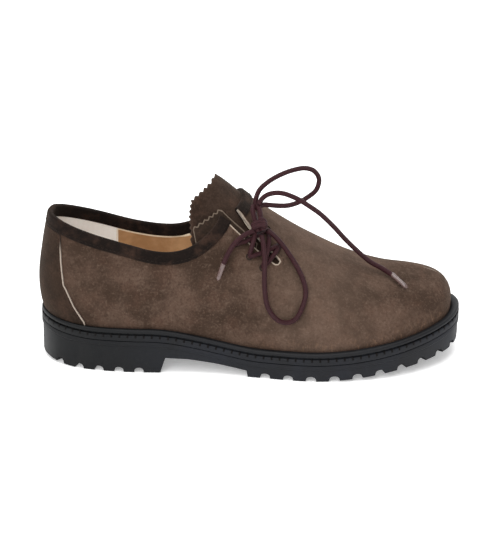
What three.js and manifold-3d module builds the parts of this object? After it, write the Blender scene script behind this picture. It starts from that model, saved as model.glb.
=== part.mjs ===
// A right shoe of the side-laced country kind: suede upper, lugged rubber sole, round cord lace.
// Millimetres, X towards the toe, Y towards the inner side of the foot, Z up from the floor.
// The origin lies under the heel, where the shoe rests.
import * as THREE from 'three';
import { mergeVertices } from 'three/addons/utils/BufferGeometryUtils.js';
import Module from 'manifold-3d';

const wasm = await Module();
wasm.setup();

// Driving sizes of the last and the sole.
const LENGTH = 300;
const BALL_WIDTH = 106;
const INSTEP_HEIGHT = 134;
const HEEL_SEAT = 32.8;
const BALL_SEAT = 21.2;
const TOE_SPRING = 11.8;
const TOE_LIP = 4.2;
const REAR_LIP = 4.4;
const HEEL_LENGTH = 84.5;
const HEEL_REST = 38;
const HEEL_BEVEL = 3;
const BREAST_LEAN = 4;
const ARCH_RISE = 11.5;
const TREAD_START = 146.5;
const COLLAR_TILT = 0.06;

// Thicknesses, clearances and small sizes.
const GAP = 0.3;
const WALL = 1.6;
const UNDERLAY_THICK = 0.9;
const TONGUE_THICK = 1.3;
const BAND_THICK = 0.8;
const BAND_WIDTH = 7.5;
const FOLD_END = 101;
const TOOTH = 3.5;
const WELT_SHOW = 5;
const WELT_HEIGHT = 3;
const MIDSOLE_THICK = 5.4;
const MIDSOLE_GROOVE = 1.1;
const INSOLE_THICK = 3;
const LUG_DEPTH = 3.8;
const LUG_PITCH = 16.2;
const LUG_FIRST = 12;
const LUG_GROOVE = 6.8;
const LUG_REACH = 17;
const HEEL_GROOVES = { first: 13, pitch: 14.2, count: 5, width: 6.2 };
const CROSS = { long: 13, wide: 4.4, pitch: 22, count: 5 };
const KERB = 14;
const LACE = 3.2;
const AGLET_THICK = 3.4;

// Steps of the mesh: stations from heel to toe on each side.
const STATIONS = 28;
const RIB_STEPS = [0, 0.1, 0.22, 0.35, 0.48, 0.6, 0.71, 0.81, 0.9, 1];

// One row for each section of the last, from the heel to the toe. along and topAlong are shares of
// LENGTH; lateral, medial, topMid and topSpread of BALL_WIDTH; inset of WELT_SHOW; topHeight of
// INSTEP_HEIGHT. The last four shape the rib between the foot and the top, as shares of its chord.
const COLUMNS = ['along', 'lateral', 'medial', 'inset', 'topAlong', 'topMid', 'topSpread', 'topHeight',
  'topSlope', 'footOut', 'footUp', 'topOut', 'topDown'];
const SECTIONS = [
  [0.000, 0.000, 0.000, 0.52, 0.026, 0.000, 0.000, 0.850, 0.00, 0.092, 0.26, 0.06, 0.34],
  [0.018, -0.150, 0.150, 0.52, 0.035, 0.000, 0.100, 0.847, 0.00, 0.090, 0.26, 0.06, 0.34],
  [0.060, -0.258, 0.255, 0.60, 0.067, 0.000, 0.185, 0.830, 0.00, 0.085, 0.28, 0.06, 0.34],
  [0.130, -0.332, 0.312, 0.70, 0.133, 0.002, 0.248, 0.785, 0.00, 0.078, 0.30, 0.07, 0.32],
  [0.220, -0.368, 0.302, 0.80, 0.220, 0.000, 0.266, 0.750, 0.00, 0.075, 0.32, 0.07, 0.30],
  [0.320, -0.376, 0.262, 0.90, 0.293, 0.000, 0.262, 0.780, 0.00, 0.060, 0.34, 0.06, 0.26],
  [0.420, -0.398, 0.285, 0.96, 0.343, 0.005, 0.200, 0.950, -0.30, 0.050, 0.34, 0.12, 0.14],
  [0.520, -0.454, 0.362, 1.00, 0.403, 0.018, 0.000, 1.018, -0.86, 0.040, 0.34, 0.22, 0.03],
  [0.610, -0.502, 0.445, 1.00, 0.506, 0.028, 0.000, 0.838, -0.72, 0.040, 0.34, 0.28, 0.00],
  [0.690, -0.512, 0.497, 1.00, 0.600, 0.042, 0.000, 0.692, -0.60, 0.050, 0.32, 0.34, 0.00],
  [0.770, -0.485, 0.502, 1.00, 0.690, 0.057, 0.000, 0.576, -0.46, 0.050, 0.32, 0.38, 0.00],
  [0.850, -0.412, 0.465, 1.00, 0.780, 0.070, 0.000, 0.502, -0.26, 0.050, 0.34, 0.42, 0.00],
  [0.925, -0.285, 0.385, 1.06, 0.850, 0.080, 0.000, 0.477, -0.17, 0.050, 0.38, 0.46, 0.00],
  [0.974, -0.130, 0.262, 1.16, 0.887, 0.085, 0.000, 0.467, -0.19, 0.045, 0.41, 0.49, 0.00],
  [0.992, 0.075, 0.075, 1.24, 0.898, 0.085, 0.000, 0.463, -0.20, 0.040, 0.42, 0.51, 0.00],
];
const TOE_ROW = SECTIONS.length - 1;
const PEAK_ROW = 7;
const LATERAL = -1;
const MEDIAL = 1;

// Lines of the cut pattern, seen from the side: shares of LENGTH and of INSTEP_HEIGHT.
const share = (rows) => rows.map(([along, high]) => [along * LENGTH, high * INSTEP_HEIGHT]);
const BACK_RIM = [[-0.08, 0.802], [0.027, 0.801]];
const LATERAL_RIM = share([...BACK_RIM, [0.051, 0.786], [0.098, 0.754], [0.160, 0.717], [0.215, 0.684],
  [0.265, 0.655], [0.307, 0.648], [0.348, 0.676], [0.388, 0.735], [0.415, 0.796], [0.427, 0.846]]);
const MEDIAL_RIM = share([...BACK_RIM, [0.043, 0.782], [0.080, 0.751], [0.130, 0.712], [0.183, 0.674],
  [0.230, 0.647], [0.280, 0.632], [0.335, 0.636], [0.377, 0.672], [0.418, 0.752], [0.465, 0.850],
  [0.489, 0.925]]);
const SLIT_OUTER = share([[0.470, 0.762], [0.490, 0.720], [0.549, 0.613], [0.555, 0.609]]);
const SLIT_INNER = share([[0.562, 0.618], [0.560, 0.630], [0.520, 0.711], [0.502, 0.759], [0.485, 0.804],
  [0.4625, 0.868]]);
const OVER_RIDGE = share([[0.4625, 0.868], [0.481, 0.889], [0.489, 0.925]]);
const COUNTER_FRONT = share([[0.053, 0.708], [0.055, 0.580], [0.060, 0.462], [0.064, 0.448],
  [0.082, 0.356], [0.107, 0.264], [0.112, 0.205]]);
const TONGUE_REAR = share([[0.414, 1.024], [0.386, 0.980], [0.356, 0.930], [0.350, 0.850], [0.352, 0.735]]);
const TONGUE_REAR_MEDIAL = share([[0.414, 1.024], [0.408, 0.940], [0.400, 0.870], [0.388, 0.800],
  [0.376, 0.720], [0.366, 0.650]]);
const TONGUE_UNDER = share([[0.372, 0.610], [0.440, 0.500], [0.540, 0.450], [0.625, 0.520], [0.660, 0.700],
  [0.600, 0.800]]);
const UNDERLAY_REAR = share([[0.360, 0.785], [0.395, 0.832], [0.425, 0.877]]);
const UNDERLAY_UNDER = share([[0.476, 0.788], [0.512, 0.715], [0.500, 0.640], [0.440, 0.600],
  [0.370, 0.670]]);

// Eyelets seen from the side, in shares of LENGTH and INSTEP_HEIGHT, from the collar down the slit.
const OUTER_EYELETS = share([[0.459, 0.716], [0.491, 0.655], [0.522, 0.599]]);
const INNER_EYELETS = share([[0.502, 0.832], [0.533, 0.757], [0.562, 0.687]]);

// The knot's two ends and the lace's routes, chosen by hand, in millimetres from the heel's rest.
const KNOT = { top: [113.2, -18.3, 119.0], bottom: [116.7, -32.7, 105.7], length: 17, thick: 8 };
const LOOP_UPPER = [[113.2, -18.0, 119.0], [113.8, -16.6, 123.8], [116.2, -14.6, 129], [122.0, -12.0, 133.8],
  [129.6, -9.0, 137.5], [138.7, -5.0, 139.8], [147.8, -2.0, 140.4], [154.2, 0.0, 137.6],
  [157.8, 1.0, 131.3], [156.0, 0.0, 123.6], [150.2, -2.0, 118.9], [143.2, -5.0, 115.9],
  [136.1, -9.0, 115.2], [128.4, -12.5, 116.4], [122.6, -15.4, 118.0], [119.0, -17.0, 118.8]];
const LOOP_SIDE = [[117.6, -34.0, 102.6], [118.8, -37.6, 97.0], [119.8, -43.0, 87.0], [119.6, -46.2, 77.4],
  [119.9, -47.7, 67.6], [121.4, -48.6, 56.8], [124.9, -49.0, 49.6], [130.0, -49.5, 44.8],
  [136.0, -50.0, 43.8], [141.6, -49.8, 46.6], [146.2, -47.6, 54.8], [148.4, -44.2, 64.0],
  [146.6, -40.4, 71.9], [142.4, -36.4, 80.0], [137.2, -32.4, 87.4], [130.6, -30.0, 96.0],
  [125.4, -29.2, 101.4], [121.6, -29.4, 104.8]];
const END_FRONT = [[115.6, -20.6, 120.6], [118.0, -20.0, 124.6], [122.6, -20.0, 127.8],
  [130.9, -21.0, 129.0], [142.0, -21.0, 124.9], [150.4, -21.0, 119.5], [158.2, -20.0, 113.4],
  [167.5, -17.0, 103.1], [176.2, -13.6, 92.0], [186.0, -9.6, 80.6], [195.0, -8.0, 72.2],
  [203.0, -9.0, 67.9], [210.4, -12.8, 64.2]];
const END_SIDE = [[112.0, -32.6, 105.4], [106.0, -35.4, 103.6], [99.0, -39.0, 98.6], [94.0, -40.0, 90.4],
  [91.0, -40.2, 83.2]];
const AGLET_FRONT = [219.8, -20.8, 58.2];
const AGLET_SIDE = [87.4, -41.4, 72.2];

// Finishes.
const finish = (color, roughness, metalness = 0) =>
  new THREE.MeshStandardMaterial({ color, roughness, metalness });
const SUEDE = finish('#4a3d33', 0.95);
const DARK_SUEDE = finish('#332c26', 0.95);
const RUBBER = finish('#1c1d1f', 0.6);
const LEATHER = finish('#b89673', 0.7);
const CORD = finish('#3a1d1f', 0.8);
const TIP = finish('#5d5048', 0.4, 0.3);

const clamp = THREE.MathUtils.clamp;
const smooth = (x) => THREE.MathUtils.smoothstep(x, 0, 1);

// How far along the toe's rise a place lies: 0 up to the ball, 1 at the tip.
const toeShare = (x) => Math.max((x / LENGTH - 0.64) / 0.36, 0);

// The height of the sole's upper edge, where the upper meets the welt.
function seat(x) {
  const a = x / LENGTH;
  const shank = HEEL_SEAT + (BALL_SEAT - HEEL_SEAT) * smooth((a - 0.25) / 0.28);
  const toe = TOE_SPRING * toeShare(x) ** 1.5 + TOE_LIP * toeShare(x) ** 3;
  const rear = REAR_LIP * Math.max(1 - a / 0.14, 0) ** 2;
  return shank + toe + rear;
}

// The height of the tread, before the arch is cut.
function ground(x) {
  return TOE_SPRING * toeShare(x) ** 1.5 + HEEL_BEVEL * Math.max(1 - x / LENGTH / 0.09, 0) ** 1.5;
}

// All columns at a place r between the rows, on one side; past either end the other side follows.
function section(r, side) {
  const turned = r < 0 || r > TOE_ROW;
  const place = turned ? (r < 0 ? -r : 2 * TOE_ROW - r) : r;
  const own = turned ? -side : side;
  const first = Math.min(Math.floor(place), TOE_ROW - 1);
  const f = place - first;
  const rows = [-1, 0, 1, 2].map((step) => {
    const k = first + step;
    const past = k < 0 || k > TOE_ROW;
    const row = SECTIONS[past ? (k < 0 ? -k : 2 * TOE_ROW - k) : k];
    const across = (past ? -own : own) === LATERAL ? row[1] : row[2];
    return { row, across };
  });
  const between = (a, b, c, d) => 0.5 * (2 * b + (c - a) * f + (2 * a - 5 * b + 4 * c - d) * f * f
    + (3 * b - a - 3 * c + d) * f ** 3);
  const found = { side: own, across: between(...rows.map((entry) => entry.across)) };
  COLUMNS.forEach((name, i) => {
    found[name] = between(...rows.map((entry) => entry.row[i]));
  });
  return found;
}

// The sole's outline, drawn in by inset, and the direction that points out of it.
function edge(r, side, inset = 0) {
  const at = (place) => {
    const s = section(place, side);
    return new THREE.Vector2(s.along * LENGTH, s.across * BALL_WIDTH);
  };
  const step = 1e-3;
  const along = at(r + step).sub(at(r - step)).normalize();
  const out = new THREE.Vector2(-side * along.y, side * along.x);
  return { point: at(r).addScaledVector(out, -inset), out };
}

// A point of the last's surface: v runs up the rib, from the feather edge to the ridge or the rim.
function ribPoint(r, side, v) {
  const s = section(r, side);
  const foot2 = edge(r, side, s.inset * WELT_SHOW);
  const foot = new THREE.Vector3(foot2.point.x, foot2.point.y, seat(foot2.point.x));
  const spread = (r >= PEAK_ROW ? 0 : Math.max(s.topSpread, 0)) * BALL_WIDTH;
  const top = new THREE.Vector3(s.topAlong * LENGTH, s.topMid * BALL_WIDTH + s.side * spread,
    s.topHeight * INSTEP_HEIGHT + s.side * COLLAR_TILT * spread);
  const chord = top.distanceTo(foot);
  const out = new THREE.Vector3(foot2.out.x, foot2.out.y, 0);
  const across = new THREE.Vector3(foot2.out.x, foot2.out.y, foot2.out.x * s.topSlope);
  const up = new THREE.Vector3(0, 0, 1);
  const low = foot.clone().addScaledVector(out, s.footOut * chord).addScaledVector(up, s.footUp * chord);
  const high = top.clone().addScaledVector(across, s.topOut * chord).addScaledVector(up, -s.topDown * chord);
  return new THREE.CubicBezierCurve3(foot, low, high, top).getPoint(v);
}

// The same point moved square to the surface: outwards by a positive offset.
function skinPoint(r, side, v, offset) {
  const p = ribPoint(r, side, v);
  if (!offset) return p;
  const step = 1e-3;
  const along = ribPoint(r + step, side, v).sub(ribPoint(r - step, side, v));
  const up = ribPoint(r, side, Math.min(v + step, 1)).sub(ribPoint(r, side, v - step));
  const onRidge = v === 1 && r >= PEAK_ROW;
  const square = onRidge
    ? new THREE.Vector3(-section(r, side).topSlope, 0, 1)
    : along.cross(up).multiplyScalar(-side);
  return p.addScaledVector(square.normalize(), offset);
}

// One loop of points round the shoe: heel, lateral side, toe, medial side.
function around(pointAt) {
  const loop = [];
  for (let k = 0; k < 2 * STATIONS; k++) {
    const lateral = k <= STATIONS;
    loop.push(pointAt(TOE_ROW * (lateral ? k : 2 * STATIONS - k) / STATIONS, lateral ? LATERAL : MEDIAL));
  }
  return loop;
}

// A solid from points and triangles: points that fall together are merged, and flat triangles dropped.
function solidFrom(points, triangles) {
  const numbers = new Map();
  const kept = [];
  const index = points.map((p) => {
    const key = [p.x, p.y, p.z].map((c) => Math.round(c * 1e4)).join();
    if (!numbers.has(key)) {
      numbers.set(key, kept.length / 3);
      kept.push(p.x, p.y, p.z);
    }
    return numbers.get(key);
  });
  const faces = triangles.map((t) => t.map((i) => index[i]))
    .filter(([a, b, c]) => a !== b && b !== c && c !== a);
  return new wasm.Manifold(new wasm.Mesh({
    numProp: 3,
    vertProperties: new Float32Array(kept),
    triVerts: new Uint32Array(faces.flat()),
  }));
}

// A closed body from loops stacked from the bottom up, with a cap across each end.
function stack(loops) {
  const n = loops[0].length;
  const faces = [];
  for (let j = 0; j + 1 < loops.length; j++) {
    for (let k = 0; k < n; k++) {
      const a = j * n + k;
      const b = j * n + (k + 1) % n;
      faces.push([a, b, b + n], [a, b + n, a + n]);
    }
  }
  const top = (loops.length - 1) * n;
  for (let k = 0; k < n / 2; k++) {
    const far = (n - k) % n;
    const next = n - k - 1;
    faces.push([far, k + 1, k], [far, next, k + 1]);
    faces.push([top + k, top + k + 1, top + next], [top + k, top + next, top + far]);
  }
  return solidFrom(loops.flat(), faces);
}

// A ring from loops that form a closed section, in order: up the outside, then down the inside.
function ring(loops) {
  const n = loops[0].length;
  const faces = [];
  loops.forEach((_, j) => {
    const here = j * n;
    const above = ((j + 1) % loops.length) * n;
    for (let k = 0; k < n; k++) {
      const next = (k + 1) % n;
      faces.push([here + k, here + next, above + next], [here + k, above + next, above + k]);
    }
  });
  return solidFrom(loops.flat(), faces);
}

// A three.js geometry as a solid.
function solidOf(geometry) {
  geometry.deleteAttribute('normal');
  geometry.deleteAttribute('uv');
  const merged = mergeVertices(geometry, 1e-4);
  const make = (turn) => new wasm.Manifold(new wasm.Mesh({
    numProp: 3,
    vertProperties: merged.attributes.position.array,
    triVerts: turn ? new Uint32Array(merged.index.array).reverse() : new Uint32Array(merged.index.array),
  }));
  const made = make(false);
  return made.volume() > 0 ? made : make(true);
}

// A prism whose outline is drawn in the side view and runs from one y to another.
function prism(outline, fromY, toY) {
  const shape = new THREE.Shape(outline.map(([x, z]) => new THREE.Vector2(x, z)));
  const geometry = new THREE.ExtrudeGeometry(shape, { depth: toY - fromY, bevelEnabled: false });
  geometry.rotateX(Math.PI / 2);
  geometry.translate(0, toY, 0);
  return solidOf(geometry);
}

function joined(solids) {
  return solids.reduce((all, next) => all.add(next));
}

// A line moved sideways in its plane: positive to the left of its direction.
function beside(line, distance) {
  return line.map(([x, z], i) => {
    const [ax, az] = line[Math.max(i - 1, 0)];
    const [bx, bz] = line[Math.min(i + 1, line.length - 1)];
    const long = Math.hypot(bx - ax, bz - az);
    return [x - (bz - az) / long * distance, z + (bx - ax) / long * distance];
  });
}

// The outline of a strip along a line.
const strip = (line, above, below) => [...beside(line, -below), ...beside(line, above).reverse()];

// A line with pinked teeth along it, standing out to its right.
function pinked(line) {
  const teeth = [line[0]];
  for (let i = 1; i < line.length; i++) {
    const [ax, az] = line[i - 1];
    const [bx, bz] = line[i];
    const long = Math.hypot(bx - ax, bz - az);
    const count = Math.max(1, Math.round(long / TOOTH));
    for (let k = 0; k < count; k++) {
      const middle = (k + 0.5) / count;
      teeth.push([ax + (bx - ax) * middle + (bz - az) / long * TOOTH * 0.45,
        az + (bz - az) * middle - (bx - ax) / long * TOOTH * 0.45]);
      teeth.push([ax + (bx - ax) * (k + 1) / count, az + (bz - az) * (k + 1) / count]);
    }
  }
  return teeth;
}

const SIDE = BALL_WIDTH;
const SKY = INSTEP_HEIGHT * 1.3;
const MIDDLE = 0;

// The last's whole form, moved out or in, with its foot carried straight down by drop.
function lastForm(offset, drop) {
  const offsetAt = typeof offset === 'function' ? offset : () => offset;
  const rib = (v) => around((r, side) => skinPoint(r, side, v, offsetAt(side, v)));
  const foot = around((r, side) => skinPoint(r, side, 0, offsetAt(side, 0)).setZ(
    seat(edge(r, side, section(r, side).inset * WELT_SHOW).point.x) - drop));
  return stack([foot, ...RIB_STEPS.map(rib)]);
}

// What is cut away over the collar, at the throat and in the side slit.
function opening() {
  const lateral = [...LATERAL_RIM, ...SLIT_OUTER, ...SLIT_INNER, ...OVER_RIDGE.slice(1),
    [OVER_RIDGE.at(-1)[0], SKY], [LATERAL_RIM[0][0], SKY]];
  const medial = [...MEDIAL_RIM, [MEDIAL_RIM.at(-1)[0], SKY], [MEDIAL_RIM[0][0], SKY]];
  return prism(lateral, -SIDE, MIDDLE).add(prism(medial, MIDDLE, SIDE));
}

function upper(cut) {
  const outside = lastForm(0, WELT_HEIGHT - GAP);
  const inside = lastForm(-WALL, 3 * WELT_HEIGHT);
  return outside.subtract(inside).subtract(cut);
}

// The band that binds the collar, inside and outside, from the lateral tip round to the slit.
function collarBand() {
  const region = (above, below) => {
    const raised = GAP + above;
    return joined([
      prism(strip(LATERAL_RIM, raised, below), -SIDE, MIDDLE),
      prism(strip(MEDIAL_RIM, raised, below), MIDDLE, SIDE),
      prism(strip(OVER_RIDGE, raised, below), -SIDE, MIDDLE),
    ]);
  };
  const drop = WELT_HEIGHT;
  const skin = lastForm(GAP + BAND_THICK, drop).subtract(lastForm(-WALL - GAP - BAND_THICK, 2 * drop));
  const core = lastForm(GAP, 2 * drop).subtract(lastForm(-WALL - GAP, 3 * drop));
  const slit = prism([LATERAL_RIM.at(-1), ...SLIT_OUTER, ...SLIT_INNER], -SIDE, MIDDLE);
  const throat = prism([[FOLD_END, 0], [LENGTH, 0], [LENGTH, SKY], [FOLD_END, SKY]], -SIDE, SIDE);
  return skin.intersect(region(BAND_THICK, BAND_WIDTH))
    .subtract(core.intersect(region(0, 2 * BAND_WIDTH)))
    .subtract(lastForm(GAP, 2 * drop).intersect(throat))
    .subtract(slit);
}

// The strip over the back of the heel, from the welt to the collar band.
function heelStrip() {
  const shell = lastForm(GAP + BAND_THICK, 0).subtract(lastForm(GAP, WELT_HEIGHT));
  const rim = beside(MEDIAL_RIM.slice(0, 4), -BAND_WIDTH - 2 * GAP).slice(0, 3);
  const low = [];
  for (let x = COUNTER_FRONT.at(-1)[0]; x > 0; x -= 8) low.push([x, seat(x) + 2 * GAP]);
  low.push([-HEEL_BEVEL, seat(0) + 2 * GAP], [rim[0][0], seat(0) + 2 * GAP]);
  const front = COUNTER_FRONT.slice(0, -1);
  return shell.intersect(prism([...front, ...low, ...rim], -SIDE, SIDE));
}

// The tongue lies under the facings and stands up behind them with a pinked edge, lower on the inner side.
function tongue() {
  const below = (side, v) => WALL + GAP
    + (side === LATERAL ? (UNDERLAY_THICK + GAP) * smooth((1 - v) / 0.25) : 0);
  const shell = lastForm((side, v) => -below(side, v), WELT_HEIGHT)
    .subtract(lastForm((side, v) => -below(side, v) - TONGUE_THICK, 2 * WELT_HEIGHT));
  const outline = [...pinked([...TONGUE_REAR].reverse()).reverse(), ...TONGUE_UNDER];
  const rear = pinked([...TONGUE_REAR_MEDIAL].reverse()).reverse();
  const behind = prism([...rear, [0, rear.at(-1)[1]], [0, SKY], [rear[0][0], SKY]], BALL_WIDTH * 0.02, SIDE);
  return shell.intersect(prism(outline, -SIDE, SIDE)).subtract(behind);
}

// The pinked piece that lies between the lateral facing and the tongue.
function facingUnderlay() {
  const top = -WALL - GAP;
  const shell = lastForm(top, WELT_HEIGHT).subtract(lastForm(top - UNDERLAY_THICK, 2 * WELT_HEIGHT));
  const outline = [...pinked([...UNDERLAY_REAR].reverse()).reverse(), ...UNDERLAY_UNDER];
  return shell.intersect(prism(outline, -SIDE, -BALL_WIDTH * 0.13));
}

// One level of a sole layer: so far in from the outline, at a height worked out from x.
const level = (inset, height) => around((r, side) => {
  const p = edge(r, side, inset).point;
  return new THREE.Vector3(p.x, p.y, height(edge(r, side).point.x));
});

function welt() {
  const inner = (drop) => around((r, side) => {
    const s = section(r, side);
    const p = edge(r, side, s.inset * WELT_SHOW - GAP).point;
    return new THREE.Vector3(p.x, p.y, seat(p.x) - drop);
  });
  const outer = (inset, drop) => level(inset, (x) => seat(x) - drop);
  return ring([outer(0.9, WELT_HEIGHT), outer(0.1, 0.6 * WELT_HEIGHT), outer(0.9, 0.12 * WELT_HEIGHT),
    inner(0), inner(WELT_HEIGHT)]);
}

function midsole() {
  const top = WELT_HEIGHT + GAP;
  return stack([level(0, (x) => seat(x) - top - MIDSOLE_THICK),
    level(0.1, (x) => seat(x) - top - 1.3 * MIDSOLE_GROOVE),
    level(MIDSOLE_GROOVE, (x) => seat(x) - top - 0.6 * MIDSOLE_GROOVE),
    level(MIDSOLE_GROOVE, (x) => seat(x) - top)]);
}

function insole() {
  const wall = (height) => around((r, side) => {
    const s = section(r, side);
    const p = edge(r, side, s.inset * WELT_SHOW + WALL + GAP).point;
    return new THREE.Vector3(p.x, p.y, seat(p.x) - WELT_HEIGHT + height);
  });
  return stack([wall(0), wall(INSOLE_THICK)]);
}

// One groove between two lugs: a slot with a round top, drawn at the origin and reaching in along -X.
function groove(width, reach) {
  const half = width / 2;
  const outline = new THREE.Shape();
  outline.moveTo(-half * 1.25, -LUG_DEPTH);
  outline.lineTo(half * 1.25, -LUG_DEPTH);
  outline.lineTo(half, 0.6 * LUG_DEPTH);
  outline.lineTo(0.5 * half, LUG_DEPTH);
  outline.lineTo(-0.5 * half, LUG_DEPTH);
  outline.lineTo(-half, 0.6 * LUG_DEPTH);
  const geometry = new THREE.ExtrudeGeometry(outline, { depth: reach + 8, bevelEnabled: false });
  geometry.rotateX(Math.PI / 2);
  geometry.translate(0, 8, 0);
  return geometry;
}

// A groove set square to the sole's edge, at a place between the rows.
function edgeGroove(r, side, width, reach) {
  const { point, out } = edge(r, side);
  const geometry = groove(width, reach);
  geometry.rotateZ(Math.atan2(out.y, out.x) - Math.PI / 2);
  geometry.translate(point.x, point.y, ground(point.x));
  return solidOf(geometry);
}

// The place between the rows where the outline passes a given x, on one side.
function rowAt(x, side) {
  let low = 0;
  let high = TOE_ROW;
  for (let i = 0; i < 30; i++) {
    const middle = (low + high) / 2;
    if (edge(middle, side).point.x < x) low = middle;
    else high = middle;
  }
  return (low + high) / 2;
}

// The y halfway between the two edges of the sole at a given x.
function edgeMiddle(x) {
  const [lateral, medial] = [LATERAL, MEDIAL].map((side) => edge(rowAt(x, side), side).point.y);
  return (lateral + medial) / 2;
}

// Places of the forefoot's grooves: LUG_FIRST from the tread's start, then one LUG_PITCH apart.
function treadPlaces() {
  const places = [];
  let last = edge(rowAt(TREAD_START, LATERAL), LATERAL).point;
  let gone = LUG_PITCH - LUG_FIRST;
  const steps = 900;
  const from = rowAt(TREAD_START, LATERAL);
  const total = 2 * TOE_ROW - from - rowAt(TREAD_START, MEDIAL);
  for (let i = 1; i < steps; i++) {
    const t = from + total * i / steps;
    const place = t <= TOE_ROW ? { r: t, side: LATERAL } : { r: 2 * TOE_ROW - t, side: MEDIAL };
    const here = edge(place.r, place.side).point;
    gone += here.distanceTo(last);
    last = here;
    if (gone >= LUG_PITCH) {
      places.push(place);
      gone = 0;
    }
  }
  return places;
}

// The sunk middle of the tread, with its crosses left standing.
function treadPocket(fromX, toX, crosses) {
  const reach = LUG_REACH + GAP;
  const floor = (height) => level(reach, (x) => ground(x) + height);
  const box = prism([[fromX, -SKY], [toX, -SKY], [toX, SKY], [fromX, SKY]], -SIDE, SIDE);
  const pocket = stack([floor(-LUG_DEPTH), floor(LUG_DEPTH)]).intersect(box);
  const { long, wide } = CROSS;
  const arms = crosses.flatMap((x) => [[long, wide], [wide, long]].map(([sizeX, sizeY]) => {
    const arm = new THREE.BoxGeometry(sizeX, sizeY, 4 * LUG_DEPTH);
    arm.translate(x, edgeMiddle(x), LUG_DEPTH);
    return solidOf(arm);
  }));
  return pocket.subtract(joined(arms));
}

function outsole() {
  const top = WELT_HEIGHT + MIDSOLE_THICK + 2 * GAP;
  const body = stack([level(1.2, ground), level(0.7, (x) => seat(x) - top - 4),
    level(0, (x) => seat(x) - top - 3.2), level(0, (x) => seat(x) - top - 0.6),
    level(0.6, (x) => seat(x) - top)]);
  const arch = [[HEEL_LENGTH - 1, -4], [HEEL_LENGTH + BREAST_LEAN, ARCH_RISE],
    [0.35 * LENGTH, 0.95 * ARCH_RISE], [0.41 * LENGTH, 0.75 * ARCH_RISE],
    [TREAD_START - 1, 0.43 * ARCH_RISE], [TREAD_START + 0.6, -4]];
  const cuts = [prism(arch, -SIDE, SIDE)];
  const { first, pitch, count, width } = HEEL_GROOVES;
  for (let i = 0; i < count; i++) {
    for (const side of [LATERAL, MEDIAL]) {
      cuts.push(edgeGroove(rowAt(first + i * pitch, side), side, width, 0.7 * LUG_REACH));
    }
  }
  for (const { r, side } of treadPlaces()) cuts.push(edgeGroove(r, side, LUG_GROOVE, LUG_REACH + 2));
  const firstCross = TREAD_START + 2 * KERB;
  const crosses = Array.from({ length: CROSS.count }, (_, i) => firstCross + i * CROSS.pitch);
  cuts.push(treadPocket(TREAD_START + KERB, LENGTH - 1.5 * KERB, crosses));
  cuts.push(treadPocket(KERB, HEEL_LENGTH - KERB, [HEEL_REST]));
  return body.subtract(joined(cuts));
}

const shoe = new THREE.Group();
shoe.name = 'side_laced_shoe';

// A solid as a named mesh, moved so that the heel's rest is the origin.
function addMesh(name, solid, material) {
  const mesh = solid.getMesh();
  const geometry = new THREE.BufferGeometry();
  geometry.setAttribute('position', new THREE.BufferAttribute(mesh.vertProperties, 3));
  geometry.setIndex(new THREE.BufferAttribute(mesh.triVerts, 1));
  geometry.translate(-HEEL_REST, 0, 0);
  geometry.computeVertexNormals();
  const node = new THREE.Mesh(geometry, material);
  node.name = name;
  shoe.add(node);
}

// A cord's solid along a route.
function tube(route, thick, sides = 8) {
  const points = route.map((p) => new THREE.Vector3(...p));
  const curve = new THREE.CatmullRomCurve3(points, false, 'centripetal');
  const round = new THREE.Shape(Array.from({ length: sides }, (_, i) => new THREE.Vector2(
    thick / 2 * Math.cos(2 * Math.PI * i / sides), thick / 2 * Math.sin(2 * Math.PI * i / sides))));
  const steps = Math.max(2, Math.round(curve.getLength() / (2.3 * thick)));
  return solidOf(new THREE.ExtrudeGeometry(round, { steps, extrudePath: curve, bevelEnabled: false }));
}

const fromHeelRear = ([x, y, z]) => [x + HEEL_REST, y, z];
const freeCord = (route) => tube(route.map(fromHeelRear), LACE);

// The place on the lateral skin that shows at a point of the side view.
function lateralSpot([x, z], offset) {
  let r = rowAt(x, LATERAL) + 0.6;
  let v = 0.6;
  const step = 1e-3;
  for (let i = 0; i < 25; i++) {
    const p = ribPoint(r, LATERAL, v);
    const along = ribPoint(r + step, LATERAL, v).sub(p).divideScalar(step);
    const up = ribPoint(r, LATERAL, v + step).sub(p).divideScalar(step);
    const det = along.x * up.z - along.z * up.x;
    r += clamp(((x - p.x) * up.z - (z - p.z) * up.x) / det, -0.5, 0.5);
    v = clamp(v + clamp(((z - p.z) * along.x - (x - p.x) * along.z) / det, -0.1, 0.1), 0.02, 0.98);
  }
  return skinPoint(r, LATERAL, v, offset);
}

// The lace where it crosses the slit: a bar at the foot and a cross between each two pairs of eyelets.
function laceBars() {
  const low = LACE / 2 + 3 * GAP;
  const bar = (from, to) => {
    const middle = [(from[0] + to[0]) / 2, (from[1] + to[1]) / 2];
    const spots = [lateralSpot(from, low), lateralSpot(middle, low + 0.6), lateralSpot(to, low)];
    return tube(spots.map((p) => p.toArray()), LACE, 6);
  };
  const last = OUTER_EYELETS.length - 1;
  const bars = [bar(OUTER_EYELETS[last], INNER_EYELETS[last])];
  for (let i = 0; i < last; i++) {
    bars.push(bar(OUTER_EYELETS[i], INNER_EYELETS[i + 1]), bar(OUTER_EYELETS[i + 1], INNER_EYELETS[i]));
  }
  return joined(bars);
}

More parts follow.
